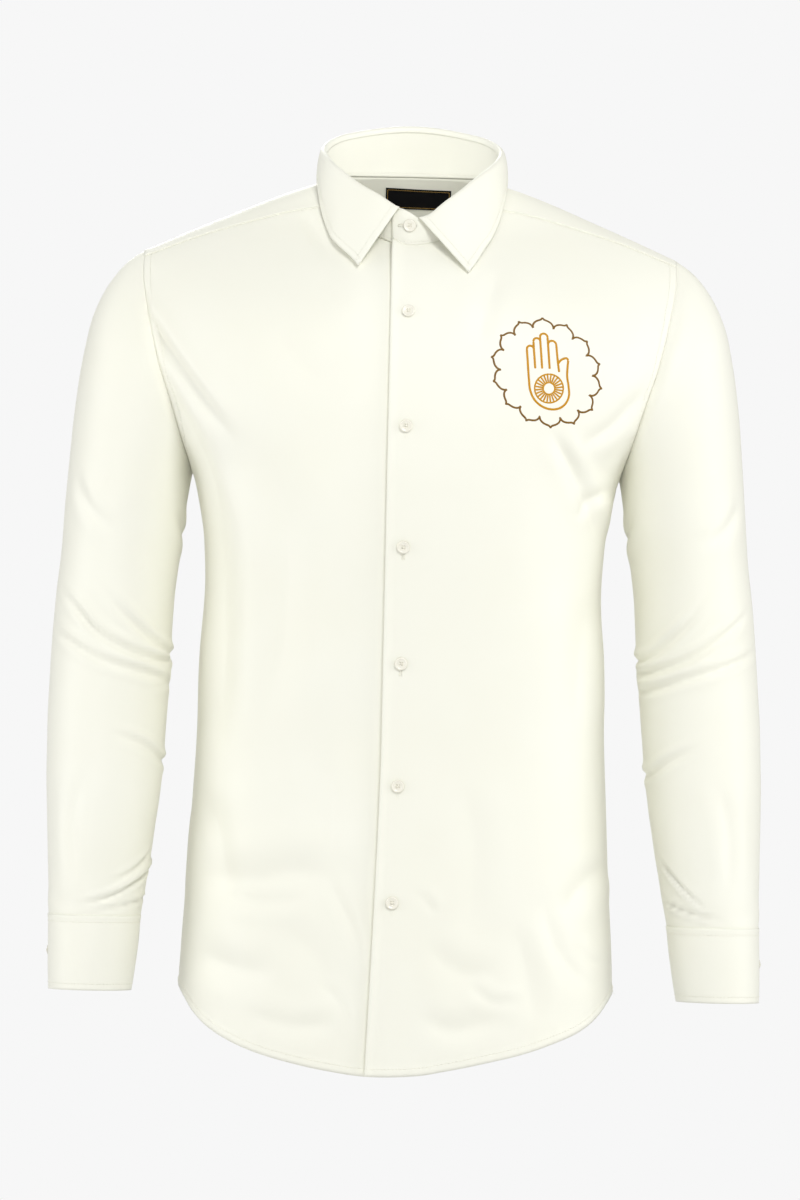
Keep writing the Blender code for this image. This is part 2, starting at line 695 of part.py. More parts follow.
def swung(point, side):
    """The place on the wearer's own side of a point that was made for the left sleeve."""
    swing = LEFT_SWING if side > 0 else RIGHT_SWING
    out = swing.out * max(swing.level - point.z, 0.0) / swing.reach
    return Vector((side * (point.x + out), point.y, point.z))


def mirrored(rows, side):
    return [[swung(point, side) for point in row] for row in rows]


def side_middle(side):
    def middle(z):
        return swung(sleeve_middle(z), side)
    return middle


def make_sleeve(name, side, folds, material):
    rows = mirrored(sleeve_rows(folds), side)
    return grid_object(name, rows, material, CLOTH_WALL, closed=True, center=side_middle(side))


def make_placket(name, side, folds, material):
    """The strip that binds the sleeve's slit, on the outer back of the forearm above the cuff."""
    rows = sleeve_rows(folds)
    first = ARMHOLE_FRONT_CELLS + ARMHOLE_BACK_CELLS - 1
    strip = []
    for section, row in list(zip(SLEEVE, rows))[14:]:
        middle = section_point(section, 0).lerp(section_point(section, 180), 0.5)
        line = []
        for point in row[first:first + 3]:
            away = (point - middle).normalized()
            line.append(point + away * (CLOTH_WALL + SEAM_GAP + 0.15))
        strip.append(line)
    strip[-1] = [p + Vector((0, 0, 1.0)) for p in strip[-1]]
    return grid_object(name, mirrored(strip, side), material, CLOTH_WALL, center=side_middle(side))


def cuff_start():
    return sleeve_turns()[ARMHOLE_FRONT_CELLS + ARMHOLE_BACK_CELLS + 1] - 360


def make_cuff(name, side, material):
    """A band round the wrist that laps over itself behind the outer side and buttons there."""
    start = cuff_start()
    turns = sorted((turn - start) % 360 + start for turn in sleeve_turns())
    lap = [start + 360 + CUFF_LAP * share for share in (0.0, 0.5, 1.0)]
    rows = []
    for section in CUFF:
        middle = section_point(section, 0).lerp(section_point(section, 180), 0.5)
        row = []
        for turn in turns + lap:
            point = section_point(section, turn)
            away = (point - middle).normalized()
            under = LAP_DROP + 0.4
            inset = under * ease((turn - start - CUFF_LAP_RUN[0]) / CUFF_LAP_RUN[1])
            row.append(point - away * inset)
        rows.append(row)
    return grid_object(name, mirrored(rows, side), material, COLLAR_WALL, center=side_middle(side))


def stand_point(turn, height):
    """A point of the collar stand's outer face, from the neck seam (0) to its top edge (1)."""
    turn_in = (turn + 180) % 360 - 180
    x, z, back = neck_place(turn)
    low = body_point(x, z + SEAM_GAP, back)
    low = Vector((low.x, low.y, z + SEAM_GAP))
    s, c = sin(radians(turn)), cos(radians(turn))
    depth = STAND_FRONT if c > 0 else STAND_BACK
    high = Vector((STAND_HALF * s, -depth * c, fold_level(abs(turn_in))))
    point = low.lerp(high, height)
    swell = 1.5 * sin(pi * height)
    return point + Vector((s, -c, 0)) * swell


def neck_turns():
    """The turns of the points along the neck seam, which the panels, the yoke and the stand share."""
    front = steps(STAND_START, YOKE_NECK_TURN, NECK_CELLS)
    shoulder = steps(YOKE_NECK_TURN, SHOULDER_TURN, ARMHOLE_YOKE_CELLS)
    back = steps(SHOULDER_TURN, 180, BACK_CELLS // 2)
    half = front + shoulder[1:] + back[1:]
    return half + [360 - turn for turn in reversed(half[:-1])]


def make_stand(material):
    """The wearer's left end laps over the right one at the centre front."""
    corner_start, corner_run, corner_drop = STAND_CORNER
    rows = []
    for height in steps(0.0, 1.0, 3):
        row = []
        for turn in neck_turns():
            point = stand_point(turn, height)
            corner = ease((abs(turn - 180) - corner_start) / corner_run)
            point.z -= corner_drop * corner * height ** 2
            # The wearer's right end, on minus X, is the under one.
            inset = LAP_DROP * ease((turn - STAND_LAP_RUN[0]) / STAND_LAP_RUN[1])
            away = Vector((point.x, point.y, 0)).normalized()
            row.append(point - away * inset)
        rows.append(row)
    return grid_object("collar_stand", rows, material, COLLAR_WALL)


def leaf_section(turn):
    """The leaf's outer face from the top of the stand, over the fold and down to its outer edge."""
    turn_in = abs((turn + 180) % 360 - 180)
    sign = 1 if (turn % 360) < 180 else -1
    top = stand_point(turn, 1.0)
    out = Vector((sin(radians(turn)), -cos(radians(turn)), 0))
    up = Vector((0, 0, 1))
    roll = radians(leaf_roll(turn_in))
    x = sign * leaf_x(turn_in)
    edge = rolled_point(x, roll)
    normal = outward(lambda a, b: rolled_point(a, b / 60), x, roll * 60)
    edge += normal * leaf_lift(turn_in)
    line = [top + out * a + up * b for a, b in LEAF_FOLD]
    start = line[-1]
    knee = start.lerp(edge, 0.4) + out * 2.2
    for t in (0.2, 0.4, 0.6, 0.8, 1.0):
        line.append(start * (1 - t) ** 2 + knee * 2 * t * (1 - t) + edge * t * t)
    return line


def make_leaf(material):
    turns = steps(LEAF_STARTS[0], 360 - LEAF_STARTS[1], LEAF_CELLS)
    columns = [leaf_section(turn) for turn in turns]
    rows = [list(row) for row in zip(*columns)]
    return grid_object("collar_leaf", rows, material, COLLAR_WALL)


def turned_button():
    """A dished shirt button on the XY plane, as a turned profile."""
    r, h = BUTTON_RADIUS, BUTTON_THICKNESS
    profile = [(0.0, h * 0.62), (r * 0.62, h * 0.66), (r * 0.78, h), (r, h * 0.62), (r * 0.93, 0.0), (0.0, 0.0)]
    mesh = bpy.data.meshes.new("button_profile")
    mesh.from_pydata([(a * MM, 0, b * MM) for a, b in profile], [(i, i + 1) for i in range(len(profile) - 1)], [])
    return mesh


def place_button(name, point, normal, material):
    obj = bpy.data.objects.new(name, turned_button())
    parts.objects.link(obj)
    obj.data.materials.append(material)
    screw = obj.modifiers.new("turn", "SCREW")
    screw.steps = 14
    screw.render_steps = 14
    screw.use_merge_vertices = True
    screw.merge_threshold = 0.00001
    screw.use_normal_calculate = True
    obj.rotation_mode = "QUATERNION"
    obj.rotation_quaternion = normal.to_track_quat("Z", "Y")
    obj.location = (point + normal * (SEAM_GAP + 0.25)) * MM
    return obj


def make_front_buttons(material):
    for i, level in enumerate(BUTTON_LEVELS):
        if i == 0:
            share = (level - NECK_FRONT_LEVEL) / (fold_level(0) - NECK_FRONT_LEVEL)
            point = stand_point(-1, share)
            normal = Vector((0, -1, 0.05)).normalized()
        else:
            point = body_point(-1, level)
            normal = outward(body_point, -1, level)
        place_button(f"front_button_{i + 1}", point, normal, material)


def make_cuff_button(name, side, material):
    turn = cuff_start() + CUFF_LAP * 0.5
    upper, lower = CUFF[1], CUFF[2]
    point = section_point(upper, turn).lerp(section_point(lower, turn), 0.5)
    middle = sleeve_middle(point.z)
    normal = (point - middle).normalized()
    normal.z = 0.0
    normal.normalize()
    place = swung(point, side)
    facing = Vector((side * normal.x, normal.y, 0))
    return place_button(name, place, facing, material)


def make_label(material):
    """A woven label inside the back neck, on the yoke's inner face. It is left bare."""
    rows = []
    for z in steps(NECK_BACK_LEVEL - 5, NECK_BACK_LEVEL - 5 - LABEL_HEIGHT, 2):
        row = []
        for x in steps(LABEL_SHIFT - LABEL_WIDTH / 2, LABEL_SHIFT + LABEL_WIDTH / 2, 6):
            point = body_point(x, z, True)
            normal = outward(lambda a, b: body_point(a, b, True), x, z)
            row.append(point - normal * (CLOTH_WALL + SEAM_GAP + 0.55))
        rows.append(row)
    return grid_object("neck_label", rows, material, 0.6)


clear_scene()
parts = bpy.data.collections.new("embroidered_shirt")
bpy.context.scene.collection.children.link(parts)
cotton = make_material("ivory_cotton")
pearl = make_material("pearl_button")
woven = make_material("woven_label")

make_front("front_left", 1, FRONT_LEFT_FOLDS, cotton)
make_front("front_right", -1, FRONT_RIGHT_FOLDS, cotton)
make_back(cotton)
make_yoke(cotton)
make_stand(cotton)
make_leaf(cotton)
for word, hand, creases in (("left", 1, LEFT_SLEEVE_FOLDS), ("right", -1, RIGHT_SLEEVE_FOLDS)):
    make_sleeve(f"sleeve_{word}", hand, creases, cotton)
    make_placket(f"sleeve_placket_{word}", hand, creases, cotton)
    make_cuff(f"cuff_{word}", hand, cotton)
    make_cuff_button(f"cuff_button_{word}", hand, pearl)
make_front_buttons(pearl)
make_label(woven)
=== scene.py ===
import bpy
import numpy as np
from math import cos, degrees, pi, radians, sin, sqrt
from mathutils import Matrix, Vector, kdtree


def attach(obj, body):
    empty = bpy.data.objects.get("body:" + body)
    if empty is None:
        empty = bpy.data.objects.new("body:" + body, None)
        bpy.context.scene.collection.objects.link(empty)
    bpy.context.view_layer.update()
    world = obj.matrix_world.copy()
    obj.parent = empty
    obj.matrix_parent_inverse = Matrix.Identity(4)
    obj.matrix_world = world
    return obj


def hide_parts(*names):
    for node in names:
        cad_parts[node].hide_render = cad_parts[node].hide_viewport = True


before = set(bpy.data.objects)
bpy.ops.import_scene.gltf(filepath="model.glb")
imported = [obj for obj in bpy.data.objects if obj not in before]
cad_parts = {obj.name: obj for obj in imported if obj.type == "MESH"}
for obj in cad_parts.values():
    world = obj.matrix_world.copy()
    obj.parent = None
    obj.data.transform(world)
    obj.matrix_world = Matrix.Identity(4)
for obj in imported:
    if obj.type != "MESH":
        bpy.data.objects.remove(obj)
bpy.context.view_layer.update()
mm = 0.001

# the shirt's cut, in millimetres, as in the solids

bodyRows = [  # z, half width, depth to the front, depth to the back
    (30, 252, 38, 72), (10, 252, 46, 77), (-28, 252, 57, 90), (-50, 252, 70, 97), (-75, 251, 86, 102),
    (-108, 246, 103, 107), (-150, 234, 117, 111), (-200, 210, 126, 111), (-246, 183, 128, 108),
    (-272, 177, 127, 105), (-305, 172, 125, 101), (-345, 170, 122, 95), (-405, 173, 119, 91),
    (-470, 175, 118, 93), (-530, 178, 120, 98), (-590, 181, 123, 103), (-650, 185, 126, 107),
    (-700, 187, 128, 110), (-780, 188, 130, 112),
]
shoulderRows = [  # x, z of the top line
    (-30, 50), (0, 60), (30, 50), (50, 33), (62, 19), (71, 9.5), (80, 4.5), (96, -1), (115, -8),
    (155, -24.5), (187, -38), (229, -57), (262, -73),
]
yokeSeamRows = [(55, 31), (63, 29), (77, 22), (130, 14), (180, 8), (229, 5)]  # x, drop below the top line
armholeRows = [  # z, x in front, x behind
    (-246, 183, 183), (-235, 187, 186), (-214, 194, 191), (-185, 203, 199), (-155, 213, 207),
    (-140, 217, 211), (-108, 224, 219), (-73, 229, 227), (-57, 229, 229),
]
sleeveRows = np.array([  # outer x, outer z, inner x, inner z, half depth, shift, armhole share
    (229.0, -57, 183.0, -246, 50, 0, 1.0), (243.0, -67, 184.0, -249.5, 54, 0, 0.85),
    (258.0, -85, 185.0, -255, 57, 1, 0.6), (270.5, -110, 186.0, -262, 59, 2, 0.35),
    (279.0, -145, 187.5, -272, 60, 3, 0.15), (285.5, -190, 189.5, -287, 60, 4, 0.0),
    (289.5, -235, 191.5, -305, 59, 4, 0.0), (293.0, -280, 195.0, -326, 58, 4, 0.0),
    (296.0, -318, 198.0, -350, 57, 3, 0.0), (300.0, -350, 199.5, -369, 56, 1, 0.0),
    (302.5, -376, 200.5, -388, 55, -1, 0.0), (304.5, -402, 201.5, -408, 55, -4, 0.0),
    (306.0, -428, 203.0, -429, 54, -7, 0.0), (307.5, -455, 205.0, -455, 53, -10, 0.0),
    (308.0, -482, 207.0, -482, 52, -13, 0.0), (308.5, -510, 209.5, -510, 51, -16, 0.0),
    (308.0, -538, 213.0, -538, 49, -19, 0.0), (307.5, -565, 217.0, -565, 47, -22, 0.0),
    (307.0, -588, 221.0, -588, 45, -24, 0.0), (306.5, -606, 224.0, -606, 43, -26, 0.0),
    (306.5, -618, 226.0, -618, 41, -27, 0.0), (306.5, -627, 227.5, -627, 40, -28, 0.0),
])
cuffRows = np.array([
    (306.8, -627.3, 227.3, -627.3, 40.3, -28, 0.0), (307.0, -648, 229.0, -648, 40.3, -29, 0.0),
    (307.3, -670, 232.0, -670, 39.7, -30, 0.0), (307.0, -691.5, 235.5, -691.5, 38.7, -31, 0.0),
])
foldRows = [  # turn round the neck, z of the collar's fold
    (-30, -19), (0, -26.5), (8, -26), (25, -13), (46, 6), (68, 20), (90, 30), (135, 46), (180, 53.5),
    (225, 46),
]
leafRows = [  # turn, distance to the side, roll over the shoulder, lift of the leaf's edge
    (5, 46, -78, 5), (30, 61, -62.6, 6), (50, 71, -50, 4.6), (70, 78, -34, 3.6), (90, 81.5, -8, 3.2),
    (100, 81, 7, 3.2), (110, 78, 15, 3.4), (120, 72, 22.5, 4), (130, 63, 31, 5), (140, 51, 41, 6),
    (150, 37, 49.5, 7), (165, 18, 57, 8), (180, 0, 59.5, 8), (195, -18, 57, 8),
]
foldSkewRows = [  # signed turn, how much higher the fold stands there than its mirror image
    (-62, 0), (-43, 0.5), (-25, 5), (-8, 8.1), (0, 4.2), (5, 0.2), (25, 0.6), (48, 0.5), (62, 0),
]
hemStrayRows = [  # x, how far the fronts' hem hangs above its even curve
    (-188, 0), (-160, -2.3), (-99, -2.4), (-58, -3.6), (-25, -5.0), (20, -3.4), (45, -0.5), (90, 2.9),
    (130, 3.4), (166, 0.8), (188, 0),
]
cut = dict(
    hem=-753.0, backHem=-762.0, hemRise=84.0, hemFlat=0.8, armTop=-57.0, armLow=-246.0, backYoke=-95.0,
    neckHalf=71.0, neckFront=-50.0, neckBack=13.0, frontRoll=140.0, backRoll=110.0, boxiness=0.25,
)
lap = dict(half=16.0, drop=1.7, drift=-8.5, driftStart=-480.0, driftReach=273.0, driftBend=1.3)
buttonLevels = (-36.0, -107.0, -205.0, -308.0, -407.0, -511.0, -610.0)


# a smooth function through one column of a table, without overshoot
def smoothTable(rows, column=1):
    rows = sorted(rows)
    keys = np.array([row[0] for row in rows], float)
    values = np.array([row[column] for row in rows], float)
    rises = np.diff(values) / np.diff(keys)
    slopes = np.concatenate([rises[:1], np.zeros(len(keys) - 2), rises[-1:]])
    product = rises[:-1] * rises[1:]
    total = rises[:-1] + rises[1:]
    slopes[1:-1] = np.where(product > 0, 2 * product / np.where(total == 0, 1, total), 0)

    def value(at):
        at = np.clip(at, keys[0], keys[-1])
        i = np.clip(np.searchsorted(keys, at, side="right") - 1, 0, len(keys) - 2)
        span = keys[i + 1] - keys[i]
        t = (at - keys[i]) / span
        return ((1 + 2 * t) * (1 - t) ** 2 * values[i] + t * (1 - t) ** 2 * span * slopes[i]
                + t * t * (3 - 2 * t) * values[i + 1] + t * t * (t - 1) * span * slopes[i + 1])

    return value


halfWidth, frontDepth, backDepth = (smoothTable(bodyRows, k) for k in (1, 2, 3))
ridgeLevel = smoothTable(shoulderRows)
yokeDrop = smoothTable(yokeSeamRows)
armholeFront, armholeBack = (smoothTable(armholeRows, k) for k in (1, 2))
foldLevel, foldSkew = smoothTable(foldRows), smoothTable(foldSkewRows)
hemStray = smoothTable(hemStrayRows)
leafX, leafRoll, leafLift = (smoothTable(leafRows, k) for k in (1, 2, 3))


def ease(t):
    t = np.clip(t, 0.0, 1.0)
    return t * t * (3 - 2 * t)


# a soft rise along a line: 1 on the line, and nearly gone at twice the width
def bump(distance, width):
    return np.exp(-(distance / width) ** 2)


def stack(x, y, z):
    return np.stack(np.broadcast_arrays(x, y, z), axis=-1).astype(float)


def bodyDepth(x, z, back):
    s = np.minimum(np.abs(x) / halfWidth(z), 1.0)
    section = np.sqrt(1 - s * s) * (1 + cut["boxiness"] * s * s)
    roll = np.where(back, cut["backRoll"], cut["frontRoll"])
    c = np.clip((ridgeLevel(np.abs(x)) - z) / roll, 0.0, 1.0)
    return section * np.sqrt(1 - (1 - c) ** 2) * np.where(back, backDepth(z), -frontDepth(z))


def bodyPoint(x, z, back=False):
    return stack(x, bodyDepth(x, z, back), z)


def rollOf(x, z, back):
    height = np.where(back, cut["backRoll"], cut["frontRoll"])
    c = np.maximum(ridgeLevel(np.abs(x)) - z, 0.0) / height
    angle = np.where(c <= 1, np.arccos(np.clip(1 - c, -1, 1)), pi / 2 + c - 1)
    return np.where(back, angle, -angle)


def rolledPoint(x, roll):
    back = roll >= 0
    height = np.where(back, cut["backRoll"], cut["frontRoll"])
    angle = np.abs(roll)
    below = np.where(angle <= pi / 2, height * (1 - np.cos(angle)), height * (1 + angle - pi / 2))
    z = ridgeLevel(np.abs(x)) - below
    return bodyPoint(x, z, back)


def neckPlace(turn):
    turn = (np.asarray(turn, float) + 180) % 360 - 180
    c = np.cos(np.radians(turn))
    side = ridgeLevel(cut["neckHalf"])
    fall, rise = (cut["neckFront"] - side) * np.abs(c) ** 1.4, (cut["neckBack"] - side) * np.abs(c)
    z = side + np.where(c > 0, fall, rise)
    return cut["neckHalf"] * np.sin(np.radians(turn)), z, c <= 0


def armholePlace(turn):
    turn = np.asarray(turn, float) % 360
    middle, half = (cut["armTop"] + cut["armLow"]) / 2, (cut["armTop"] - cut["armLow"]) / 2
    z = middle + half * np.cos(np.radians(turn))
    back = turn > 180
    return np.where(back, armholeBack(z), armholeFront(z)), z, back


# how far the button edge and its lower buttons stray to the wearer's right near the hem
def lapDrift(z):
    return lap["drift"] * np.clip((lap["driftStart"] - z) / lap["driftReach"], 0, 1) ** lap["driftBend"]


def firstTurn(reached, low, high):
    for _ in range(40):
        turn = (low + high) / 2
        low, high = (low, turn) if reached(turn) else (turn, high)
    return turn


def neckMeetsYoke(turn):
    x, z, _back = neckPlace(turn)
    return ridgeLevel(x) - z <= yokeDrop(x)


def armMeetsFront(turn):
    x, z, _back = armholePlace(turn)
    return ridgeLevel(x) - z > yokeDrop(229)


def armMeetsBack(turn):
    return armholePlace(360 - turn)[1] < cut["backYoke"]


yokeNeckTurn = firstTurn(neckMeetsYoke, 30.0, 89.0)
frontArmTurn = firstTurn(armMeetsFront, 0.0, 150.0)
backArmTurn = firstTurn(armMeetsBack, 0.0, 150.0)


def hemLevel(x, low):
    t = np.degrees(np.arcsin(np.minimum(np.abs(x) / halfWidth(low + 40), 1.0))) / 90
    flat = cut["hemFlat"]
    over = (t - flat) / (1 - flat)
    rise = np.where(t > flat, flat * flat + 2 * flat * (1 - flat) * (over - over * over / 2), t * t)
    return low + cut["hemRise"] * rise


# helpers for grids of points

def unit(v):
    return v / np.maximum(np.linalg.norm(v, axis=-1, keepdims=True), 1e-9)


def gridNormals(points, closed=False):
    across = np.gradient(points, axis=1)
    if closed:
        across = np.roll(points, -1, axis=1) - np.roll(points, 1, axis=1)
    return unit(np.cross(across, np.gradient(points, axis=0)))


# the normals, turned round if they point away from where they should
def facing(normals, toward):
    return normals if (normals * toward).sum() > 0 else -normals


# a smooth line through points of any dimension
def spline(points, count):
    points = np.asarray(points, float)
    lengths = np.maximum(np.linalg.norm(np.diff(points, axis=0), axis=-1), 1e-6)
    keys = np.concatenate([[0.0], np.cumsum(lengths)])
    slopes = np.gradient(points, keys, axis=0)
    at = np.linspace(0, keys[-1], count)
    i = np.clip(np.searchsorted(keys, at, side="right") - 1, 0, len(keys) - 2)
    span = (keys[i + 1] - keys[i])[:, None]
    t = (at - keys[i])[:, None] / span
    return ((1 + 2 * t) * (1 - t) ** 2 * points[i] + t * (1 - t) ** 2 * span * slopes[i]
            + t * t * (3 - 2 * t) * points[i + 1] + t * t * (t - 1) * span * slopes[i + 1])


# the line's points again, at an even distance apart
def evenly(line, pitch):
    line = np.asarray(line, float)
    keys = np.concatenate([[0.0], np.cumsum(np.linalg.norm(np.diff(line, axis=0), axis=-1))])
    count = max(int(round(keys[-1] / pitch)), 1)
    at = np.linspace(0, keys[-1], count + 1)
    return np.stack([np.interp(at, keys, line[:, k]) for k in range(line.shape[1])], axis=-1)


def coons(bottom, top, left, right):
    u = np.linspace(0, 1, len(bottom))[None, :, None]
    v = np.linspace(0, 1, len(left))[:, None, None]
    edges = bottom * (1 - v) + top * v + left[:, None] * (1 - u) + right[:, None] * u
    corners = (bottom[0] * (1 - u) + bottom[-1] * u) * (1 - v) + (top[0] * (1 - u) + top[-1] * u) * v
    return edges - corners


# each point's distance from a line, measured to places 1.5 mm apart along it
def distanceTo(points, line):
    line = evenly(line, 1.5)
    flat = points.reshape(-1, 3)
    nearest = np.full(len(flat), 1e9)
    for start in range(0, len(line), 40):
        part = line[start:start + 40]
        square = ((flat[:, None, :] - part[None, :, :]) ** 2).sum(-1).min(1)
        nearest = np.minimum(nearest, square)
    return np.sqrt(nearest).reshape(points.shape[:-1])


# soft uneven waves between about -1 and 1, with no repeat across a panel
def ripple(a, b, size, seed=0.0):
    a, b = a / size, b / size
    broad = np.sin(a * 1.7 + 1.3 * np.sin(b * 0.9 + seed) + seed)
    broad = broad * np.sin(b * 1.3 + 0.8 * np.sin(a * 1.1 - seed))
    slanting = np.sin(a * 0.8 - b * 1.9 + 2.1 * seed) * np.sin(a * 0.5 + b * 0.7 + seed * 0.3)
    return (broad + 0.6 * slanting) / 1.6


# a crease is a trough with a swell on each side, placed in widths of the crease
crease = dict(fadeShare=0.32, above=1.7, aboveWidth=1.25, below=-1.9, belowWidth=1.4, sharpness=1.5)


# the height that a list of creases gives: (width, depth, swell above, swell below, line)
def creases(folds, a, b, gain=1.0):
    total = np.zeros(np.broadcast(a, b).shape)
    for width, depth, above, below, line in folds:
        line = spline(line, 8 * len(line))
        lengths = np.linalg.norm(np.diff(line, axis=0), axis=1)
        nearest = np.full(total.shape, 1e9)
        signed = np.zeros(total.shape)
        place = np.zeros(total.shape)
        run = 0.0
        for p, q, length in zip(line, line[1:], lengths):
            dx, dy = (q - p) / length
            ox, oy = a - p[0], b - p[1]
            t = np.clip(ox * dx + oy * dy, 0, length)
            gap = np.hypot(ox - t * dx, oy - t * dy)
            closer = gap < nearest
            signed = np.where(closer, np.where(dx * oy - dy * ox > 0, gap, -gap), signed)
            place = np.where(closer, run + t, place)
            nearest = np.where(closer, gap, nearest)
            run += length
        share = place / run
        fade = ease(np.minimum(share, 1 - share) / crease["fadeShare"] + 0.04)
        s = signed / width
        trough = np.exp(-np.abs(s) ** crease["sharpness"])
        up = bump(s - crease["above"], crease["aboveWidth"])
        down = bump(s - crease["below"], crease["belowWidth"])
        total += gain * fade * (above * up + below * down - depth * trough)
    return total


# how the panels are sewn: felled armholes, joins as fine grooves, a turned hem

sewing = dict(
    allowance=3.0, allowanceDrop=1.0, fell=8.0, fellLift=0.28, armGroove=(0.16, 1.2), sideGroove=(0.3, 1.4),
    yokeGroove=(0.25, 1.4), hem=8.0, hemLift=0.55, hemStitch=7.2, hemGroove=(0.3, 0.9), seamRow=7.0,
    hemRow=6.6,
)


def groove(distance, depth, width):
    return depth * bump(distance, width)


def felled(toArm):
    return sewing["fellLift"] * ease((sewing["fell"] - toArm) / 1.5) - groove(toArm, *sewing["armGroove"])


def sewnRelief(toArm, toSide, toSeam, toHem):
    hem = sewing["hemLift"] * ease((sewing["hem"] - toHem) / 1.4) * ease(toHem / 1.2)
    joins = groove(toSide, *sewing["sideGroove"]) + groove(toSeam, *sewing["yokeGroove"])
    return felled(toArm) - joins + hem - groove(toHem - sewing["hemStitch"], *sewing["hemGroove"])


# one more row past the end of a grid, which runs under the neighbour: a seam allowance
def tucked(points, normals, atEnd=True):
    last, before = (points[-1], points[-2]) if atEnd else (points[0], points[1])
    n = normals[-1] if atEnd else normals[0]
    more = (last + unit(last - before) * sewing["allowance"] - n * sewing["allowanceDrop"])[None]
    return np.concatenate([points, more]) if atEnd else np.concatenate([more, points])


# an outline on the body as turn and height, in which a panel's rows and columns run evenly
def unrolled(line):
    return np.stack([np.arcsin(np.clip(line[:, 0] / halfWidth(line[:, 1]), -1, 1)), line[:, 1]], axis=1)


def bodyPatch(bottom, top, left, right, back=False):
    patch = coons(*(unrolled(line) for line in (bottom, top, left, right)))
    z = patch[..., 1]
    x = halfWidth(z) * np.sin(patch[..., 0])
    base = bodyPoint(x, z, back)
    return x, z, base, facing(gridNormals(base), [0, 1 if back else -1, 0])


# meshes

def makeMesh(name, points, faces, material, smooth=True):
    mesh = bpy.data.meshes.new(name)
    points = np.asarray(points, float).reshape(-1, 3) * mm
    mesh.from_pydata(points.tolist(), [], faces.tolist() if isinstance(faces, np.ndarray) else faces)
    if smooth:
        mesh.shade_smooth()
    obj = bpy.data.objects.new(name, mesh)
    bpy.context.scene.collection.objects.link(obj)
    if material:
        obj.data.materials.append(material)
    return obj


def gridFaces(rows, columns, closed=False, flip=False):
    index = np.arange(rows * columns).reshape(rows, columns)
    if closed:
        index = np.concatenate([index, index[:, :1]], axis=1)
    quads = np.stack([index[:-1, :-1], index[:-1, 1:], index[1:, 1:], index[1:, :-1]], axis=-1)
    quads = quads.reshape(-1, 4)
    return quads[:, ::-1] if flip else quads


# a thin shell: the grid of points is its outer face, on the side that the normals point to
def sheetObject(name, points, normals, wall, material, closed=False):
    rows = min(len(points), len(normals))
    faceWay = np.cross(np.gradient(points, axis=1), np.gradient(points, axis=0))
    flip = (faceWay[2:rows - 2] * normals[2:rows - 2]).sum() < 0
    obj = makeMesh(name, points, gridFaces(points.shape[0], points.shape[1], closed, flip), material)
    solid = obj.modifiers.new("wall", "SOLIDIFY")
    solid.thickness = wall * mm
    solid.offset = -1.0
    return obj


def cover(obj, nodes):
    if nodes:
        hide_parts(*nodes)
    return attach(obj, "root")


stitch = dict(size=(2.5, 0.5, 0.42), pitch=3.2, lift=0.1)  # length, width and height


# stitches along lines: each row is (points, normals), one stitch between each pair of points
def stitchObject(name, rows, material, size=stitch["size"]):
    length, width, height = size
    points, faces = [], []
    for line, normals in rows:
        for p, q, n in zip(line, line[1:], normals):
            along = q - p
            gap = np.linalg.norm(along)
            along = along / max(gap, 1e-6)
            side = unit(np.cross(along, n))
            middle, half = (p + q) / 2, min(length, gap * 0.86) / 2
            base = len(points)
            points.append(middle - along * half)
            for s, h in ((1, 0), (0, 1), (-1, 0), (0, -0.3)):
                points.append(middle + side * s * width / 2 + n * h * height)
            points.append(middle + along * half)
            for this, after in ((1, 2), (2, 3), (3, 4), (4, 1)):
                faces.append((base, base + after, base + this))
                faces.append((base + 5, base + this, base + after))
    return cover(makeMesh(name, points, faces, material), [])


# finds places on a finished grid of points, for what is sewn on it
class Surface:

    def __init__(self, points, normals):
        self.points = points.reshape(-1, 3)
        self.normals = normals.reshape(-1, 3)
        self.tree = kdtree.KDTree(len(self.points))
        for i, p in enumerate(self.points):
            self.tree.insert(p, i)
        self.tree.balance()

    # the line's points moved onto the surface, with their normals
    def onto(self, line, lift=0.0):
        places, normals = [], []
        for p in line:
            found = self.tree.find_n(p, 4)
            weights = np.array([1 / (f[2] + 0.2) ** 2 for f in found])
            weights /= weights.sum()
            index = [f[1] for f in found]
            n = unit((self.normals[index] * weights[:, None]).sum(0))
            gaps = ((self.points[index] - p) * self.normals[index]).sum(-1)
            places.append(p + n * ((gaps * weights).sum() + lift))
            normals.append(n)
        return np.array(places), np.array(normals)

    # a row of stitch ends that runs at a distance from the line, on its left as it runs
    def beside(self, line, distance):
        line = evenly(line, stitch["pitch"])
        _places, normals = self.onto(line)
        along = unit(np.gradient(line, axis=0))
        moved = line + unit(np.cross(normals, along)) * distance
        return self.onto(evenly(moved, stitch["pitch"]), stitch["lift"])


# colours and materials

def linear(text):
    channels = [int(text[i:i + 2], 16) / 255 for i in (1, 3, 5)]
    return tuple(c / 12.92 if c <= 0.04045 else ((c + 0.055) / 1.055) ** 2.4 for c in channels) + (1.0,)


def addNode(tree, kind, settings=None, links=None):
    node = tree.nodes.new(kind)
    for key, value in (settings or {}).items():
        if key in node.inputs:
            node.inputs[key].default_value = value
        else:
            setattr(node, key, value)
    for key, source in (links or {}).items():
        tree.links.new(source, node.inputs[key])
    return node


def newMaterial(name, color, **inputs):
    material = bpy.data.materials.new(name)
    material.use_nodes = True
    shader = material.node_tree.nodes["Principled BSDF"]
    shader.inputs["Base Color"].default_value = linear(color)
    for key, value in inputs.items():
        shader.inputs[key.replace("_", " ")].default_value = value
    return material, material.node_tree, shader


# the scale at which a wave texture repeats after so many millimetres
def waveScale(spacing):
    return pi / (10 * spacing * mm)


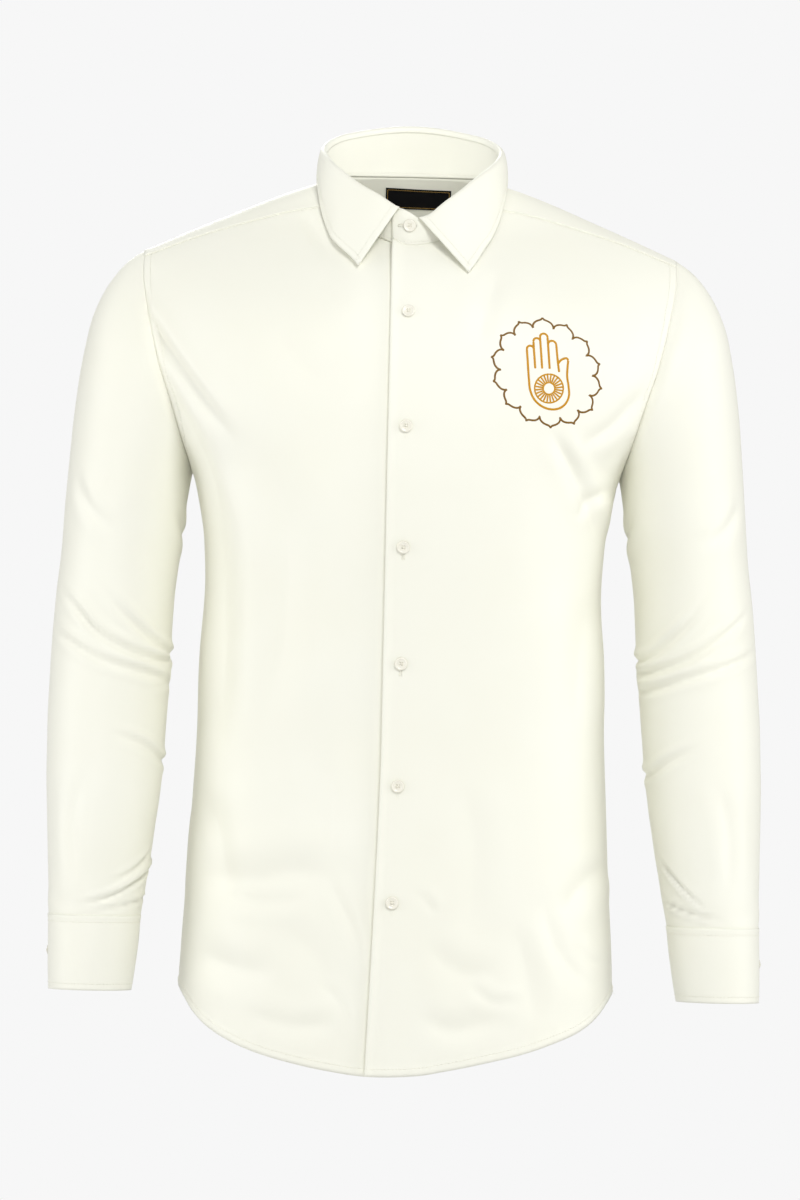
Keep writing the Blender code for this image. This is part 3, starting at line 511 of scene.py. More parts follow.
# a material whose colour wanders between two tones, in clouds of a size in millimetres
def mottled(name, color, deep, cloud, detail=3.0, **inputs):
    material, tree, shader = newMaterial(name, color, **inputs)
    place = addNode(tree, "ShaderNodeTexCoord").outputs["Object"]
    settings = {"Scale": 1 / (cloud * mm), "Detail": detail}
    noise = addNode(tree, "ShaderNodeTexNoise", settings, {"Vector": place})
    tone = addNode(tree, "ShaderNodeMix", {"data_type": "RGBA"}, {"Factor": noise.outputs["Fac"]})
    tone.inputs[6].default_value = linear(color)
    tone.inputs[7].default_value = linear(deep)
    tree.links.new(tone.outputs[2], shader.inputs["Base Color"])
    return material, tree, shader, place


# poplin's threads lie 0.2 mm apart, too fine to show, so they are drawn about 0.75 mm apart
poplin = dict(color="#F7F7EC", deep="#F4F3E4", cloud=111.11, spacing=0.748, strength=0.25, threadHeight=0.12)


# combed and pressed cotton poplin: smooth and matt, with a faint sheen where it turns away
def poplinMaterial():
    material, tree, shader, place = mottled(
        "combed_cotton_poplin", poplin["color"], poplin["deep"], poplin["cloud"],
        Roughness=0.5, IOR=1.47, Sheen_Weight=0.12, Sheen_Roughness=0.35)
    weave = addNode(tree, "ShaderNodeMath", {"operation": "MULTIPLY"})
    for i, way in enumerate("XZ"):  # warp and weft
        settings = {"Scale": waveScale(poplin["spacing"]), "bands_direction": way, "Distortion": 0.6}
        threads = addNode(tree, "ShaderNodeTexWave", settings, {"Vector": place})
        tree.links.new(threads.outputs["Fac"], weave.inputs[i])
    relief = {"Strength": poplin["strength"], "Distance": poplin["threadHeight"] * mm}
    relief = addNode(tree, "ShaderNodeBump", relief, {"Height": weave.outputs[0]})
    tree.links.new(relief.outputs["Normal"], shader.inputs["Normal"])
    return material


cotton = poplinMaterial()
# spun cotton sewing thread: a little rougher and hairier than the cloth
thread = newMaterial("spun_cotton_thread", "#F6F4E6", Roughness=0.55, IOR=1.47, Sheen_Weight=0.2)[0]


# the fronts

fineX, fineZ = 7, 9
neckCells, frontCells, sideCells, armFrontCells = 6, 11, 17, 10
frontCloth = dict(
    wall=0.8, folds=1.5, waves=(0.45, 52.0), ripples=(0.22, 19.0),  # waves and ripples: height and size
    nearLap=30.0, hemPucker=0.25, armPucker=0.2,
    edgeLift=1.4, lowEdgeLift=0.8, edgeReach=9.0, topEdgeLift=2.4, edgeWave=(0.5, 40.0), rollReach=14.0,
)

frontRightFolds = [  # width, depth, swell above, swell below, line of (x, z)
    (6.4, 3.3, 2.6, 1.0, [(-262, -72), (-224, -120), (-193, -162), (-168, -194), (-140, -230)]),
    (7, 1.8, 1.2, 0.6, [(-222, -140), (-202, -180), (-172, -236), (-154, -300)]),
    (15, 3.2, 1.8, 2.0, [(-176, -226), (-156, -320), (-152, -420), (-162, -500)]),
    (19, 2.7, 1.9, 1.5, [(-122, -214), (-102, -310), (-104, -400), (-122, -480)]),
    (14, 2.2, 1.2, 1.2, [(-172, -510), (-152, -560), (-144, -620)]),
    (5, 1.3, 0.9, 0.5, [(-58, -584), (-50, -604), (-36, -632), (-24, -660)]),
    (15, 2.0, 1.6, 0.9, [(-184, -588), (-130, -594), (-80, -586), (-34, -592)]),
    (6, 0.9, 0.7, 0.4, [(-150, -606), (-112, -612), (-72, -606)]),
    (12, 1.9, 1.4, 0.8, [(-176, -652), (-140, -668), (-96, -672)]),
    (8, 1.2, 0.8, 0.4, [(-132, -704), (-88, -716), (-44, -712)]),
    (13, 1.3, 0.9, 0.6, [(-100, -626), (-70, -656), (-34, -706)]),
    (5, 0.9, 0.7, 0.3, [(-66, -676), (-48, -694), (-34, -722)]),
    (12, 1.1, 0.7, 0.5, [(-118, -122), (-96, -150), (-70, -170)]),
    (5, 1.2, 0.8, 0.3, [(-100, -4), (-88, -30), (-70, -62)]),
    (14, 1.3, 0.9, 0.6, [(-70, -470), (-58, -530), (-60, -590)]),
]
frontLeftFolds = [
    (6, 2.3, 1.8, 0.8, [(120, -202), (138, -232), (156, -268), (168, -306)]),
    (6, 1.9, 1.3, 0.6, [(204, -166), (176, -200), (146, -222)]),
    (5, 1.6, 1.1, 0.5, [(178, -252), (160, -262), (144, -284)]),
    (13, 1.8, 1.1, 0.8, [(166, -330), (152, -400), (150, -470)]),
    (9, 1.8, 1.3, 0.7, [(182, -570), (160, -590), (138, -622)]),
    (8, 1.7, 1.2, 0.6, [(124, -606), (136, -646), (170, -684)]),
    (12, 1.6, 1.1, 0.6, [(98, -620), (112, -666), (120, -714)]),
    (9, 1.3, 0.9, 0.5, [(8, -700), (48, -716), (100, -700)]),
    (5, 1.1, 0.8, 0.4, [(150, -640), (164, -656), (178, -662)]),
    (5, 1.0, 0.7, 0.3, [(60, -676), (84, -692), (112, -690)]),
    (12, 1.2, 0.8, 0.5, [(54, -500), (66, -570), (60, -640)]),
    (9, 1.0, 0.7, 0.4, [(78, -66), (64, -110), (60, -140)]),
    (4, 1.4, 1.0, 0.5, [(4, -598), (20, -604), (34, -620)]),
    (10, 1.2, 0.8, 0.5, [(20, -640), (60, -668), (90, -664)]),
]


# side is 1 for the wearer's left front, which laps over, and -1 for the right one
def frontPanel(name, side, folds):
    lapTurn = degrees(np.arcsin(lap["half"] / cut["neckHalf"]))
    neck = neckPlace(np.linspace(-lapTurn, yokeNeckTurn, neckCells * fineX + 1))
    arm = armholePlace(np.linspace(frontArmTurn, 180, armFrontCells * fineZ + 1))
    yokeX = np.linspace(neck[0][-1], arm[0][0], frontCells * fineX + 1)[1:]
    yokeZ = ridgeLevel(yokeX) - yokeDrop(yokeX)
    yokeZ[-1] = arm[1][0]
    top = np.stack([np.concatenate([neck[0], yokeX]), np.concatenate([neck[1], yokeZ])], axis=1)
    start = (lapDrift(cut["hem"]) * side - lap["half"]) / halfWidth(cut["hem"])
    bottomX = halfWidth(cut["hem"]) * np.sin(np.linspace(np.arcsin(start), pi / 2, len(top)))
    bottom = np.stack([bottomX, hemLevel(bottomX, cut["hem"]) + hemStray(side * bottomX)], axis=1)
    low = sideCells * fineZ
    sideZ = np.linspace(bottom[-1][1], cut["armLow"], low + 1)[:-1]
    right = np.stack([np.concatenate([halfWidth(sideZ), arm[0][::-1]]),
                      np.concatenate([sideZ, arm[1][::-1]])], axis=1)
    lapZ = np.linspace(bottom[0][1], top[0][1], len(right))
    left = np.stack([lapDrift(lapZ) * side - lap["half"], lapZ], axis=1)
    x, z, base, normals = bodyPatch(bottom, top, left, right)

    edges = (base[0], base[low:, -1], base[:low + 1, -1], base[-1, neckCells * fineX:])
    toHem, toArm, toSide, toSeam = (distanceTo(base, line) for line in edges)
    calm = ease(toArm / 8) * ease(toSide / 12) * ease(toHem / 14) * ease(toSeam / 16)
    calm = calm * ease((np.abs(x) - lap["half"]) / frontCloth["nearLap"] + 0.25)
    (waves, waveSize), (ripples, rippleSize) = frontCloth["waves"], frontCloth["ripples"]
    height = creases(folds, side * x, z, frontCloth["folds"])
    height += waves * ripple(side * x, z, waveSize, 1.7 * side)
    height += ripples * ripple(side * x, z * 0.7, rippleSize, 3.1 * side)
    height = height * calm + sewnRelief(toArm, toSide, toSeam, toHem)
    height += frontCloth["hemPucker"] * ripple(side * x * 2.2, z * 0.4, 9.0, 0.6) * bump(toHem - 6, 9)
    height += frontCloth["armPucker"] * np.sin(z / 3.7 + 1.5 * np.sin(z / 17)) * bump(toArm - 8, 5)
    if side < 0:
        height -= lap["drop"] * ease((52 - x) / 28)  # it goes under the left front
    else:
        edge = x + lap["half"] - lapDrift(z)
        lift = frontCloth["edgeLift"] + frontCloth["lowEdgeLift"] * ease((-300 - z) / 200)
        height += lift * ease((frontCloth["edgeReach"] - edge) / frontCloth["edgeReach"])
        wave, waveLength = frontCloth["edgeWave"]
        roll = frontCloth["topEdgeLift"] * ease((z + 92) / 42) + wave * ripple(z, z * 0, waveLength, 2.0)
        height += roll * ease((frontCloth["rollReach"] - edge) / frontCloth["rollReach"])
    points = (base + normals * height[..., None]) * [side, 1, 1]
    normals = normals * [side, 1, 1]
    obj = sheetObject(name, tucked(points, normals), normals, frontCloth["wall"], cotton)
    return obj, Surface(points, normals), dict(hem=points[0], arm=points[low:, -1])


frontLeft, leftSurface, leftLines = frontPanel("cloth_front_left", 1, frontLeftFolds)
frontRight, rightSurface, rightLines = frontPanel("cloth_front_right", -1, frontRightFolds)
cover(frontLeft, ["front_left"])
cover(frontRight, ["front_right"])
print("fronts done")


# the back

backFolds = [
    (12, 2.6, 1.7, 0.8, [(-188, -190), (-160, -236), (-146, -300)]),
    (11, 2.2, 1.5, 0.8, [(186, -196), (160, -250), (150, -312)]),
    (17, 2.4, 1.8, 0.9, [(-120, -340), (-60, -372), (14, -366)]),
    (15, 2.0, 1.5, 0.8, [(118, -352), (70, -392), (4, -404)]),
    (19, 1.9, 1.2, 0.8, [(-70, -150), (-84, -240), (-76, -320)]),
    (18, 1.8, 1.2, 0.7, [(72, -160), (90, -236), (84, -300)]),
    (20, 2.4, 1.6, 1.0, [(-96, -520), (-104, -620), (-92, -730)]),
    (18, 2.1, 1.6, 0.9, [(80, -540), (94, -640), (88, -720)]),
    (8, 1.2, 0.8, 0.4, [(-156, -440), (-130, -470), (-100, -480)]),
    (8, 1.1, 0.7, 0.4, [(150, -430), (126, -462), (92, -470)]),
]
backCells, armBackCells = 20, 8
backCloth = dict(wall=0.8, folds=1.3, waves=(0.5, 60.0), ripples=(0.22, 21.0))


def backPanel():
    arm = armholePlace(np.linspace(180, 360 - backArmTurn, armBackCells * fineZ + 1))
    endX, endZ = arm[0][-1], arm[1][-1]
    sideLow = hemLevel(halfWidth(cut["hem"]), cut["hem"])
    turns = np.linspace(-pi / 2, pi / 2, backCells * fineX + 1)
    bottomX = halfWidth(cut["backHem"]) * np.sin(turns)
    bottomZ = hemLevel(bottomX, cut["backHem"]) + np.maximum(hemStray(bottomX), 0)
    bottomZ = bottomZ + (sideLow - bottomZ[0]) * (np.abs(bottomX) / halfWidth(bottomZ)) ** 6
    bottom = np.stack([bottomX, bottomZ], axis=1)
    top = np.stack([np.linspace(-endX, endX, len(turns)), np.full(len(turns), endZ)], axis=1)
    low = sideCells * fineZ
    sideZ = np.linspace(sideLow, cut["armLow"], low + 1)[:-1]
    right = np.stack([np.concatenate([halfWidth(sideZ), arm[0]]), np.concatenate([sideZ, arm[1]])], axis=1)
    x, z, base, normals = bodyPatch(bottom, top, right * [-1, 1], right, True)

    toHem, toSeam = distanceTo(base, base[0]), distanceTo(base, base[-1])
    toArm = np.minimum(distanceTo(base, base[low:, -1]), distanceTo(base, base[low:, 0]))
    toSide = np.minimum(distanceTo(base, base[:low + 1, -1]), distanceTo(base, base[:low + 1, 0]))
    calm = ease(toArm / 16) * ease(toSide / 14) * ease(toHem / 14) * ease(toSeam / 50)
    (waves, waveSize), (ripples, rippleSize) = backCloth["waves"], backCloth["ripples"]
    height = creases(backFolds, x, z, backCloth["folds"])
    height += waves * ripple(x, z, waveSize, 0.9) + ripples * ripple(x, z * 0.8, rippleSize, 2.3)
    height = height * calm + sewnRelief(toArm, toSide, toSeam, toHem)
    points = base + normals * height[..., None]
    obj = sheetObject("cloth_back", tucked(points, normals), normals, backCloth["wall"], cotton)
    return obj, Surface(points, normals), dict(hem=points[0], right=points[low:, 0], left=points[low:, -1])


backSheet, backSurface, backLines = backPanel()
cover(backSheet, ["back"])
print("back done")


# the yoke

armYokeCells, yokeFine = 4, 8
yokeCloth = dict(wall=0.8, shoulderTurn=118.0, waves=(0.35, 40.0), frontLift=0.3, backLift=0.4, edge=3.4,
                 row=1.8)


def yokePanel():
    shoulderTurn, mark = yokeCloth["shoulderTurn"], armYokeCells * yokeFine
    shoulders = np.linspace(yokeNeckTurn, shoulderTurn, mark + 1)
    behind = np.linspace(shoulderTurn, 180, backCells // 2 * yokeFine + 1)[1:]
    x, z, back = neckPlace(np.concatenate([shoulders, behind]))
    inner = np.stack([x, rollOf(x, z, back)], axis=1)
    arm = armholePlace(np.linspace(360 + frontArmTurn, 360 - backArmTurn, mark + 1))
    outer = [(a, r) for a, r in zip(arm[0], rollOf(*arm))]
    endX, endZ = arm[0][-1], arm[1][-1]
    for share in np.linspace(1, 0, backCells // 2 * yokeFine + 1)[1:]:
        outer.append((endX * share, float(rollOf(endX * share, endZ, True))))
    outer = np.array(outer)
    shares = np.linspace(0, 1, frontCells * 5 + 1)[None, :, None]
    places = inner[:, None] * (1 - shares) + outer[:, None] * shares
    half = rolledPoint(places[..., 0], places[..., 1])
    seamX = places[0, :, 0]
    half[0] = bodyPoint(seamX, ridgeLevel(seamX) - yokeDrop(seamX))
    # the rows next to the seam ease from it into the rest
    for i in range(1, 7):
        half[i] += (half[0] - rolledPoint(places[0, :, 0], places[0, :, 1])) * (1 - i / 7) ** 2
    base = np.concatenate([half, half[:-1][::-1] * [-1, 1, 1]])
    normals = facing(gridNormals(base), [0, 0, 1])

    rim = base[:, -1]
    toFront = np.minimum(distanceTo(base, base[0]), distanceTo(base, base[-1]))
    toArm = np.minimum(distanceTo(base, rim[:mark + 1]), distanceTo(base, rim[-mark - 1:]))
    toBack = distanceTo(base, rim[mark:-mark])
    waves, waveSize = yokeCloth["waves"]
    height = waves * ripple(base[..., 0], base[..., 1] + base[..., 2], waveSize, 0.4)
    height = height * ease(toArm / 16) * ease(toFront / 10) * ease(toBack / 14) + felled(toArm)
    height += yokeCloth["frontLift"] * ease((yokeCloth["edge"] - toFront) / 1.2)
    height += yokeCloth["backLift"] * ease((yokeCloth["edge"] - toBack) / 1.2)
    points = base + normals * height[..., None]
    obj = sheetObject("cloth_yoke", points, normals, yokeCloth["wall"], cotton)
    return obj, Surface(points, normals), dict(left=points[0], right=points[-1], back=points[mark:-mark, -1])


yokeSheet, yokeSurface, yokeLines = yokePanel()
cover(yokeSheet, ["yoke"])
print("yoke done")


# sleeves, plackets and cuffs

rightSleeveFolds = [
    (5, 2.6, 1.7, 1.1, [(20, -346), (53, -365), (75, -383), (105, -398), (155, -409), (205, -404)]),
    (5, 2.1, 1.5, 0.9, [(8, -378), (50, -394), (85, -409), (122, -418), (160, -426), (200, -432)]),
    (5, 2.2, 1.4, 1.0, [(70, -340), (106, -372), (130, -388), (180, -403), (230, -392), (270, -360)]),
    (5, 1.8, 1.3, 0.6, [(92, -470), (124, -478), (180, -495), (220, -486)]),
    (3.4, 2.3, 1.9, 0.6, [(62, -618), (90, -615), (117, -608), (150, -596), (190, -584), (225, -590)]),
    (2.6, 1.5, 1.0, 0.4, [(78, -624), (112, -621), (150, -615), (200, -610)]),
    (3.6, 1.6, 1.2, 0.5, [(104, -600), (136, -588), (176, -566)]),
    (8, 1.9, 1.4, 0.8, [(60, -96), (96, -150), (128, -204)]),
    (6, 2.0, 1.5, 0.8, [(200, -420), (250, -402), (300, -384)]),
    (6, 1.8, 1.3, 0.8, [(190, -446), (240, -440), (290, -452)]),
    (10, 2.0, 1.3, 0.9, [(240, -180), (256, -260), (250, -330)]),
    (5, 1.6, 1.1, 0.6, [(210, -560), (232, -590), (240, -616)]),
    (4, 1.2, 0.8, 0.5, [(136, -430), (150, -431), (166, -430)]),
    (9, 1.3, 0.9, 0.6, [(30, -250), (60, -282), (84, -300)]),
    (12, 1.2, 0.8, 0.6, [(70, -500), (60, -550), (66, -600)]),
    (9, 1.3, 0.9, 0.6, [(150, -280), (180, -300), (214, -306)]),
]
leftSleeveFolds = [
    (5, 2.5, 1.7, 1.1, [(16, -350), (55, -373), (91, -394), (156, -411), (204, -404)]),
    (5, 2.3, 1.5, 0.9, [(2, -385), (52, -401), (98, -414), (141, -425), (190, -428)]),
    (5, 2.2, 1.4, 1.0, [(71, -338), (96, -366), (157, -401), (215, -392), (262, -366)]),
    (5, 1.9, 1.3, 0.7, [(88, -470), (120, -483), (158, -498), (214, -494)]),
    (3.6, 1.9, 1.5, 0.6, [(164, -568), (150, -576), (128, -592), (96, -614)]),
    (3.0, 1.8, 1.4, 0.5, [(170, -602), (150, -608), (115, -616), (72, -622)]),
    (8, 1.8, 1.4, 0.8, [(66, -100), (100, -150), (126, -200)]),
    (6, 2.0, 1.5, 0.8, [(206, -424), (254, -406), (304, -390)]),
    (10, 2.0, 1.3, 0.9, [(236, -190), (252, -262), (246, -334)]),
    (6, 1.6, 1.2, 0.7, [(206, -548), (226, -580), (238, -612)]),
    (9, 1.3, 0.9, 0.6, [(24, -262), (52, -288), (80, -304)]),
    (12, 1.2, 0.8, 0.6, [(76, -500), (66, -552), (70, -600)]),
    (9, 1.3, 0.9, 0.6, [(148, -276), (180, -296), (216, -300)]),
]
sleeveCloth = dict(
    wall=0.8, rows=172, radius=52.0, folds=1.6, foldWidth=0.64, waves=(0.5, 34.0), ripples=(0.2, 14.0),
    headGathers=0.35, footGathers=0.7, footLevel=-616.0, end=-626.5,
)
sleeveTurns = np.concatenate([
    np.linspace(frontArmTurn, 180, armFrontCells * 5 + 1)[:-1],
    np.linspace(180, 360 - backArmTurn, armBackCells * 5 + 1)[:-1],
    np.linspace(360 - backArmTurn, 360 + frontArmTurn, armYokeCells * 5 + 1)[:-1],
])


# section holds the columns of the sleeve's table, turn is in degrees
def sectionPoint(section, turn):
    c, s = np.cos(np.radians(turn)), np.sin(np.radians(turn))
    section = section[..., None, :] if np.ndim(turn) else section
    x = (section[..., 0] + section[..., 2]) / 2 + (section[..., 0] - section[..., 2]) / 2 * c
    z = (section[..., 1] + section[..., 3]) / 2 + (section[..., 1] - section[..., 3]) / 2 * c
    return stack(x, section[..., 5] - section[..., 4] * s, z)


def sleeveBase(sections, turns):
    seam = bodyPoint(*armholePlace(turns)) - sectionPoint(sleeveRows[:1], turns)
    return sectionPoint(sections, turns) + seam * sections[:, None, 6:7]


def sleeveOutward(points, sections):
    middle = (sectionPoint(sections, np.array([0.0])) + sectionPoint(sections, np.array([180.0]))) / 2
    return unit(points - middle)


swings = {1: (-400, 255, 4.3), -1: (-275, 380, -8.6)}  # level, reach below it, and way out at that reach


# the points on the wearer's own side of what was made for the left sleeve, with the arm's swing
def mirrored(points, side):
    level, reach, out = swings[side]
    swung = points.copy()
    swung[..., 0] += out * np.maximum(level - points[..., 2], 0.0) / reach
    return swung * [side, 1, 1]


def sleeve(name, side, folds):
    sections = spline(sleeveRows, sleeveCloth["rows"])
    sections[:, 6] = np.clip(sections[:, 6], 0, 1)
    base = sleeveBase(sections, sleeveTurns)
    out = sleeveOutward(base, sections)
    normals = facing(gridNormals(base, closed=True), out)
    z, share, turn = base[..., 2], sections[:, None, 6], sleeveTurns % 360
    toArm = distanceTo(base, np.concatenate([base[0], base[0][:1]]))
    offCuff = ease((z - sleeveCloth["end"]) / 7)
    calm = np.where(share > 0.2, 1 - share, 1.0) * ease(toArm / 22) * offCuff

    degree = radians(1) * sleeveCloth["radius"]  # the cloth's length in a degree of turn
    around = turn[None, :] * degree
    wrap = np.abs(np.sin(np.radians(turn / 2)))[None, :]
    rolled = [(sleeveCloth["foldWidth"] * width, depth, above, below, [(t * degree, h) for t, h in line])
              for width, depth, above, below, line in folds]
    (waves, waveSize), (ripples, rippleSize) = sleeveCloth["waves"], sleeveCloth["ripples"]
    height = creases(rolled, around, z, sleeveCloth["folds"])
    height += wrap * waves * ripple(around, z, waveSize, 1.1 * side)
    height += wrap * ripples * ripple(around, z, rippleSize, 2.6)
    height *= calm
    head = np.sin(np.radians(turn * 9) + 1.3 * np.sin(np.radians(turn * 2)))[None, :]
    height += sleeveCloth["headGathers"] * head * bump(toArm - 7, 6) * ease(toArm / 4)
    height -= groove(toArm, 0.1, 2.0)
    foot = np.sin(np.radians(turn * 5) + 0.7) * (0.4 + 0.6 * np.sin(np.radians(turn / 2 - 90)) ** 2)
    height += sleeveCloth["footGathers"] * foot[None, :] * bump(z - sleeveCloth["footLevel"], 9) * offCuff
    points = base + normals * height[..., None]
    normals = facing(gridNormals(points, closed=True), out) * [side, 1, 1]
    points = mirrored(points, side)
    # the head runs under the body, and the foot into the cuff
    ends = tucked(tucked(points, normals), normals, False)
    obj = sheetObject(name, ends, normals, sleeveCloth["wall"], cotton, closed=True)
    return obj, Surface(points, normals), points, normals


placketStrip = dict(wall=0.7, start=0.66, columns=11, edge=0.45, stitching=1.15)


# the strip that binds the sleeve's slit, from the sleeve's own points
def placket(name, points, normals):
    first = (armFrontCells + armBackCells - 1) * 5
    columns = slice(first, first + placketStrip["columns"])
    start = int(sleeveCloth["rows"] * placketStrip["start"])
    strip, lift = points[start:, columns], normals[start:, columns]
    rim = np.ones(placketStrip["columns"])
    rim[[0, -1]] = placketStrip["edge"]
    obj = sheetObject(name, strip + lift * rim[:, None], lift, placketStrip["wall"], cotton)
    middle = strip + lift * placketStrip["stitching"]
    return obj, [middle[2:, 1], middle[2:, -2]]


cuffCloth = dict(wall=1.5, lap=30.0, tuck=2.3, waves=(0.25, 30.0), top=-628.5, topLift=0.45,
                 seams=(-633.5, -686.0), end=-691.0, endStitch=5.5, radius=40.0)
cuffStart = float((frontArmTurn + backArmTurn) / armYokeCells - backArmTurn)


def cuff(name, side):
    turns = np.linspace(cuffStart, cuffStart + 360 + cuffCloth["lap"], 131)
    sections = spline(cuffRows, 30)
    base = sectionPoint(sections, turns)
    out = sleeveOutward(base, sections)
    z = base[..., 2]
    waves, waveSize = cuffCloth["waves"]
    height = waves * ripple(turns[None, :] * 0.9, z, waveSize, side) * ease((z - cuffCloth["end"]) / 8)
    height -= cuffCloth["tuck"] * ease((turns - cuffStart - 300) / 55)  # the end that lies under
    height += cuffCloth["topLift"] * bump(z - cuffCloth["top"], 2.4)
    height -= 0.21 * sum(bump(z - level, 0.9) for level in cuffCloth["seams"])
    toEnd = np.minimum(turns - turns[0], turns[-1] - turns) * radians(1) * cuffCloth["radius"]
    height -= 0.2 * bump(toEnd - cuffCloth["endStitch"], 0.9)
    points, normals = mirrored(base + out * height[..., None], side), out * [side, 1, 1]
    return sheetObject(name, points, normals, cuffCloth["wall"], cotton), Surface(points, normals), points


print("sleeves start")
sleeveParts = {}
for word, hand, folds in (("left", 1, leftSleeveFolds), ("right", -1, rightSleeveFolds)):
    cloth, surface, points, normals = sleeve(f"cloth_sleeve_{word}", hand, folds)
    cover(cloth, [f"sleeve_{word}"])
    strip, stripRows = placket(f"cloth_placket_{word}", points, normals)
    cover(strip, [f"sleeve_placket_{word}"])
    band, bandSurface, bandPoints = cuff(f"cloth_cuff_{word}", hand)
    cover(band, [f"cuff_{word}"])
    sleeveParts[word] = dict(cloth=cloth, surface=surface, strip=strip, stripRows=stripRows, band=band,
                             bandSurface=bandSurface, bandPoints=bandPoints)
print("sleeves done")


# the collar

standBand = dict(wall=1.5, start=-13.0, half=75.5, frontReach=65.0, backReach=60.0, belly=1.5,
                 cornerDrop=5.0, tuck=1.9, row=1.4)
leafFall = dict(
    wall=1.4, starts=(5.0, 8.0), shift=3.6, turnIn=1.3, gap=0.8, knee=2.2, seam=6.0, row=5.6,
    waves=(0.3, 30.0),
    # out and up from the fold
    roll=((-1.85, -1.6), (-1.9, 1.2), (-0.8, 3.3), (0.9, 4.0), (2.8, 3.2), (4.0, 1.2)),
)


def standPoint(turn, height):
    turn = np.asarray(turn, float)
    signed = (turn + 180) % 360 - 180
    x, z, back = neckPlace(turn)
    low = bodyPoint(x, z + 0.2, back)
    s, c = np.sin(np.radians(turn)), np.cos(np.radians(turn))
    reach = np.where(c > 0, standBand["frontReach"], standBand["backReach"])
    high = stack(standBand["half"] * s, -reach * c, foldLevel(np.abs(signed)) + foldSkew(signed))
    out = stack(s, -c, 0 * s)
    return low * (1 - height) + high * height + out * (standBand["belly"] * np.sin(pi * height))


def stand():
    turns = np.linspace(standBand["start"], 360 - standBand["start"], 241)
    corner = ease((np.abs(turns - 180) - 184) / 12)
    inset = standBand["tuck"] * ease((turns - 318) / 24)  # the end that lies under
    rows = []
    for height in np.linspace(0, 1, 22):
        line = standPoint(turns, height)
        line[:, 2] -= standBand["cornerDrop"] * corner * height ** 2
        seam = 0.3 * bump(height - 0.1, 0.03) + 0.4 * bump(height, 0.03)
        rows.append(line - unit(line * [1, 1, 0]) * (inset + seam)[:, None])
    points = np.array(rows)
    normals = facing(gridNormals(points), points * [1, 1, 0])
    obj = sheetObject("cloth_collar_stand", points, normals, standBand["wall"], cotton)
    return obj, Surface(points, normals), points


# one section of the leaf, from inside the fold over its roll and down to its edge on the shirt
def leafLine(turn):
    wrapped = abs((turn + 180) % 360 - 180)
    sign = 1 if turn % 360 < 180 else -1
    top = standPoint(turn, 1.0)
    out = np.array([sin(radians(turn)), -cos(radians(turn)), 0.0])
    up = np.array([0, 0, 1.0])
    tip = float(ease((40 - wrapped) / 35))
    x = sign * leafX(wrapped) + leafFall["shift"] * tip
    roll = radians(leafRoll(wrapped) + leafFall["turnIn"] * sign * tip)
    edge = rolledPoint(x, np.array(roll))
    along = rolledPoint(x + 0.5, np.array(roll)) - rolledPoint(x - 0.5, np.array(roll))
    across = rolledPoint(x, np.array(roll + 0.01)) - rolledPoint(x, np.array(roll - 0.01))
    away = np.array([edge[0] * 0.6, edge[1], 30.0 if edge[2] > -90 else 0.0])
    edge = edge + facing(unit(np.cross(along, across)), away) * (leafLift(wrapped) - leafFall["gap"])
    full = 0.2 + 0.8 * float(ease((wrapped - 5) / 16))  # the roll starts flat at the collar's end
    over = spline([top + out * a + up * b * (full if b > 0 else 1) for a, b in leafFall["roll"]], 12)
    start = over[-1]
    knee = start * 0.6 + edge * 0.4 + out * leafFall["knee"]
    t = np.linspace(0, 1, 23)[1:, None]
    fall = start * (1 - t) ** 2 + knee * 2 * t * (1 - t) + edge * t * t
    return np.concatenate([over, fall])


def leaf():
    turns = np.linspace(leafFall["starts"][0], 360 - leafFall["starts"][1], 221)
    points = np.array([leafLine(turn) for turn in turns]).transpose(1, 0, 2)
    kernel = np.array([1, 2, 3, 2, 1.0]) / 9
    padded = np.concatenate([points[:, :1]] * 2 + [points] + [points[:, -1:]] * 2, axis=1)
    smooth = sum(kernel[k] * padded[:, k:k + points.shape[1]] for k in range(5))
    points[:, 2:-2] = smooth[:, 2:-2]
    outer = points * [1, 1, 0]
    outer[:20] = 0  # the inner side and the roll don't say which way is out
    normals = facing(gridNormals(points), outer)
    edge = np.concatenate([points[12:, 0], points[-1], points[12:, -1][::-1]])
    toEdge = distanceTo(points, edge)
    waves, waveSize = leafFall["waves"]
    height = waves * ripple(turns[None, :] * 1.2, points[..., 2], waveSize, 0.8) * ease(toEdge / 10)
    height -= groove(toEdge - leafFall["seam"], 0.28, 0.8) + groove(toEdge, 0.5, 0.8)
    points = points + normals * height[..., None]
    obj = sheetObject("cloth_collar_leaf", points, normals, leafFall["wall"], cotton)
    return obj, Surface(points, normals), edge


standSheet, standSurface, standPoints = stand()
leafSheet, leafSurface, leafEdge = leaf()
cover(standSheet, ["collar_stand"])
cover(leafSheet, ["collar_leaf"])
print("collar done")


# buttons

shirtButton = dict(thickness=1.8, radius=5.6, dish=0.74, rim=4.5, rimWidth=0.9, holeRadius=0.75,
                   holeSpread=1.45, lift=0.3, thread=(3.2, 0.8, 0.7))  # the thread's length, width and height
# polished shell: clouded and glossy, with a thin clear gleam on top
pearl = mottled("polished_shell_button", "#F6F4E8", "#EDE9D8", 3.846, 2.0, Roughness=0.24, IOR=1.53,
                Coat_Weight=0.4, Coat_Roughness=0.1)[0]


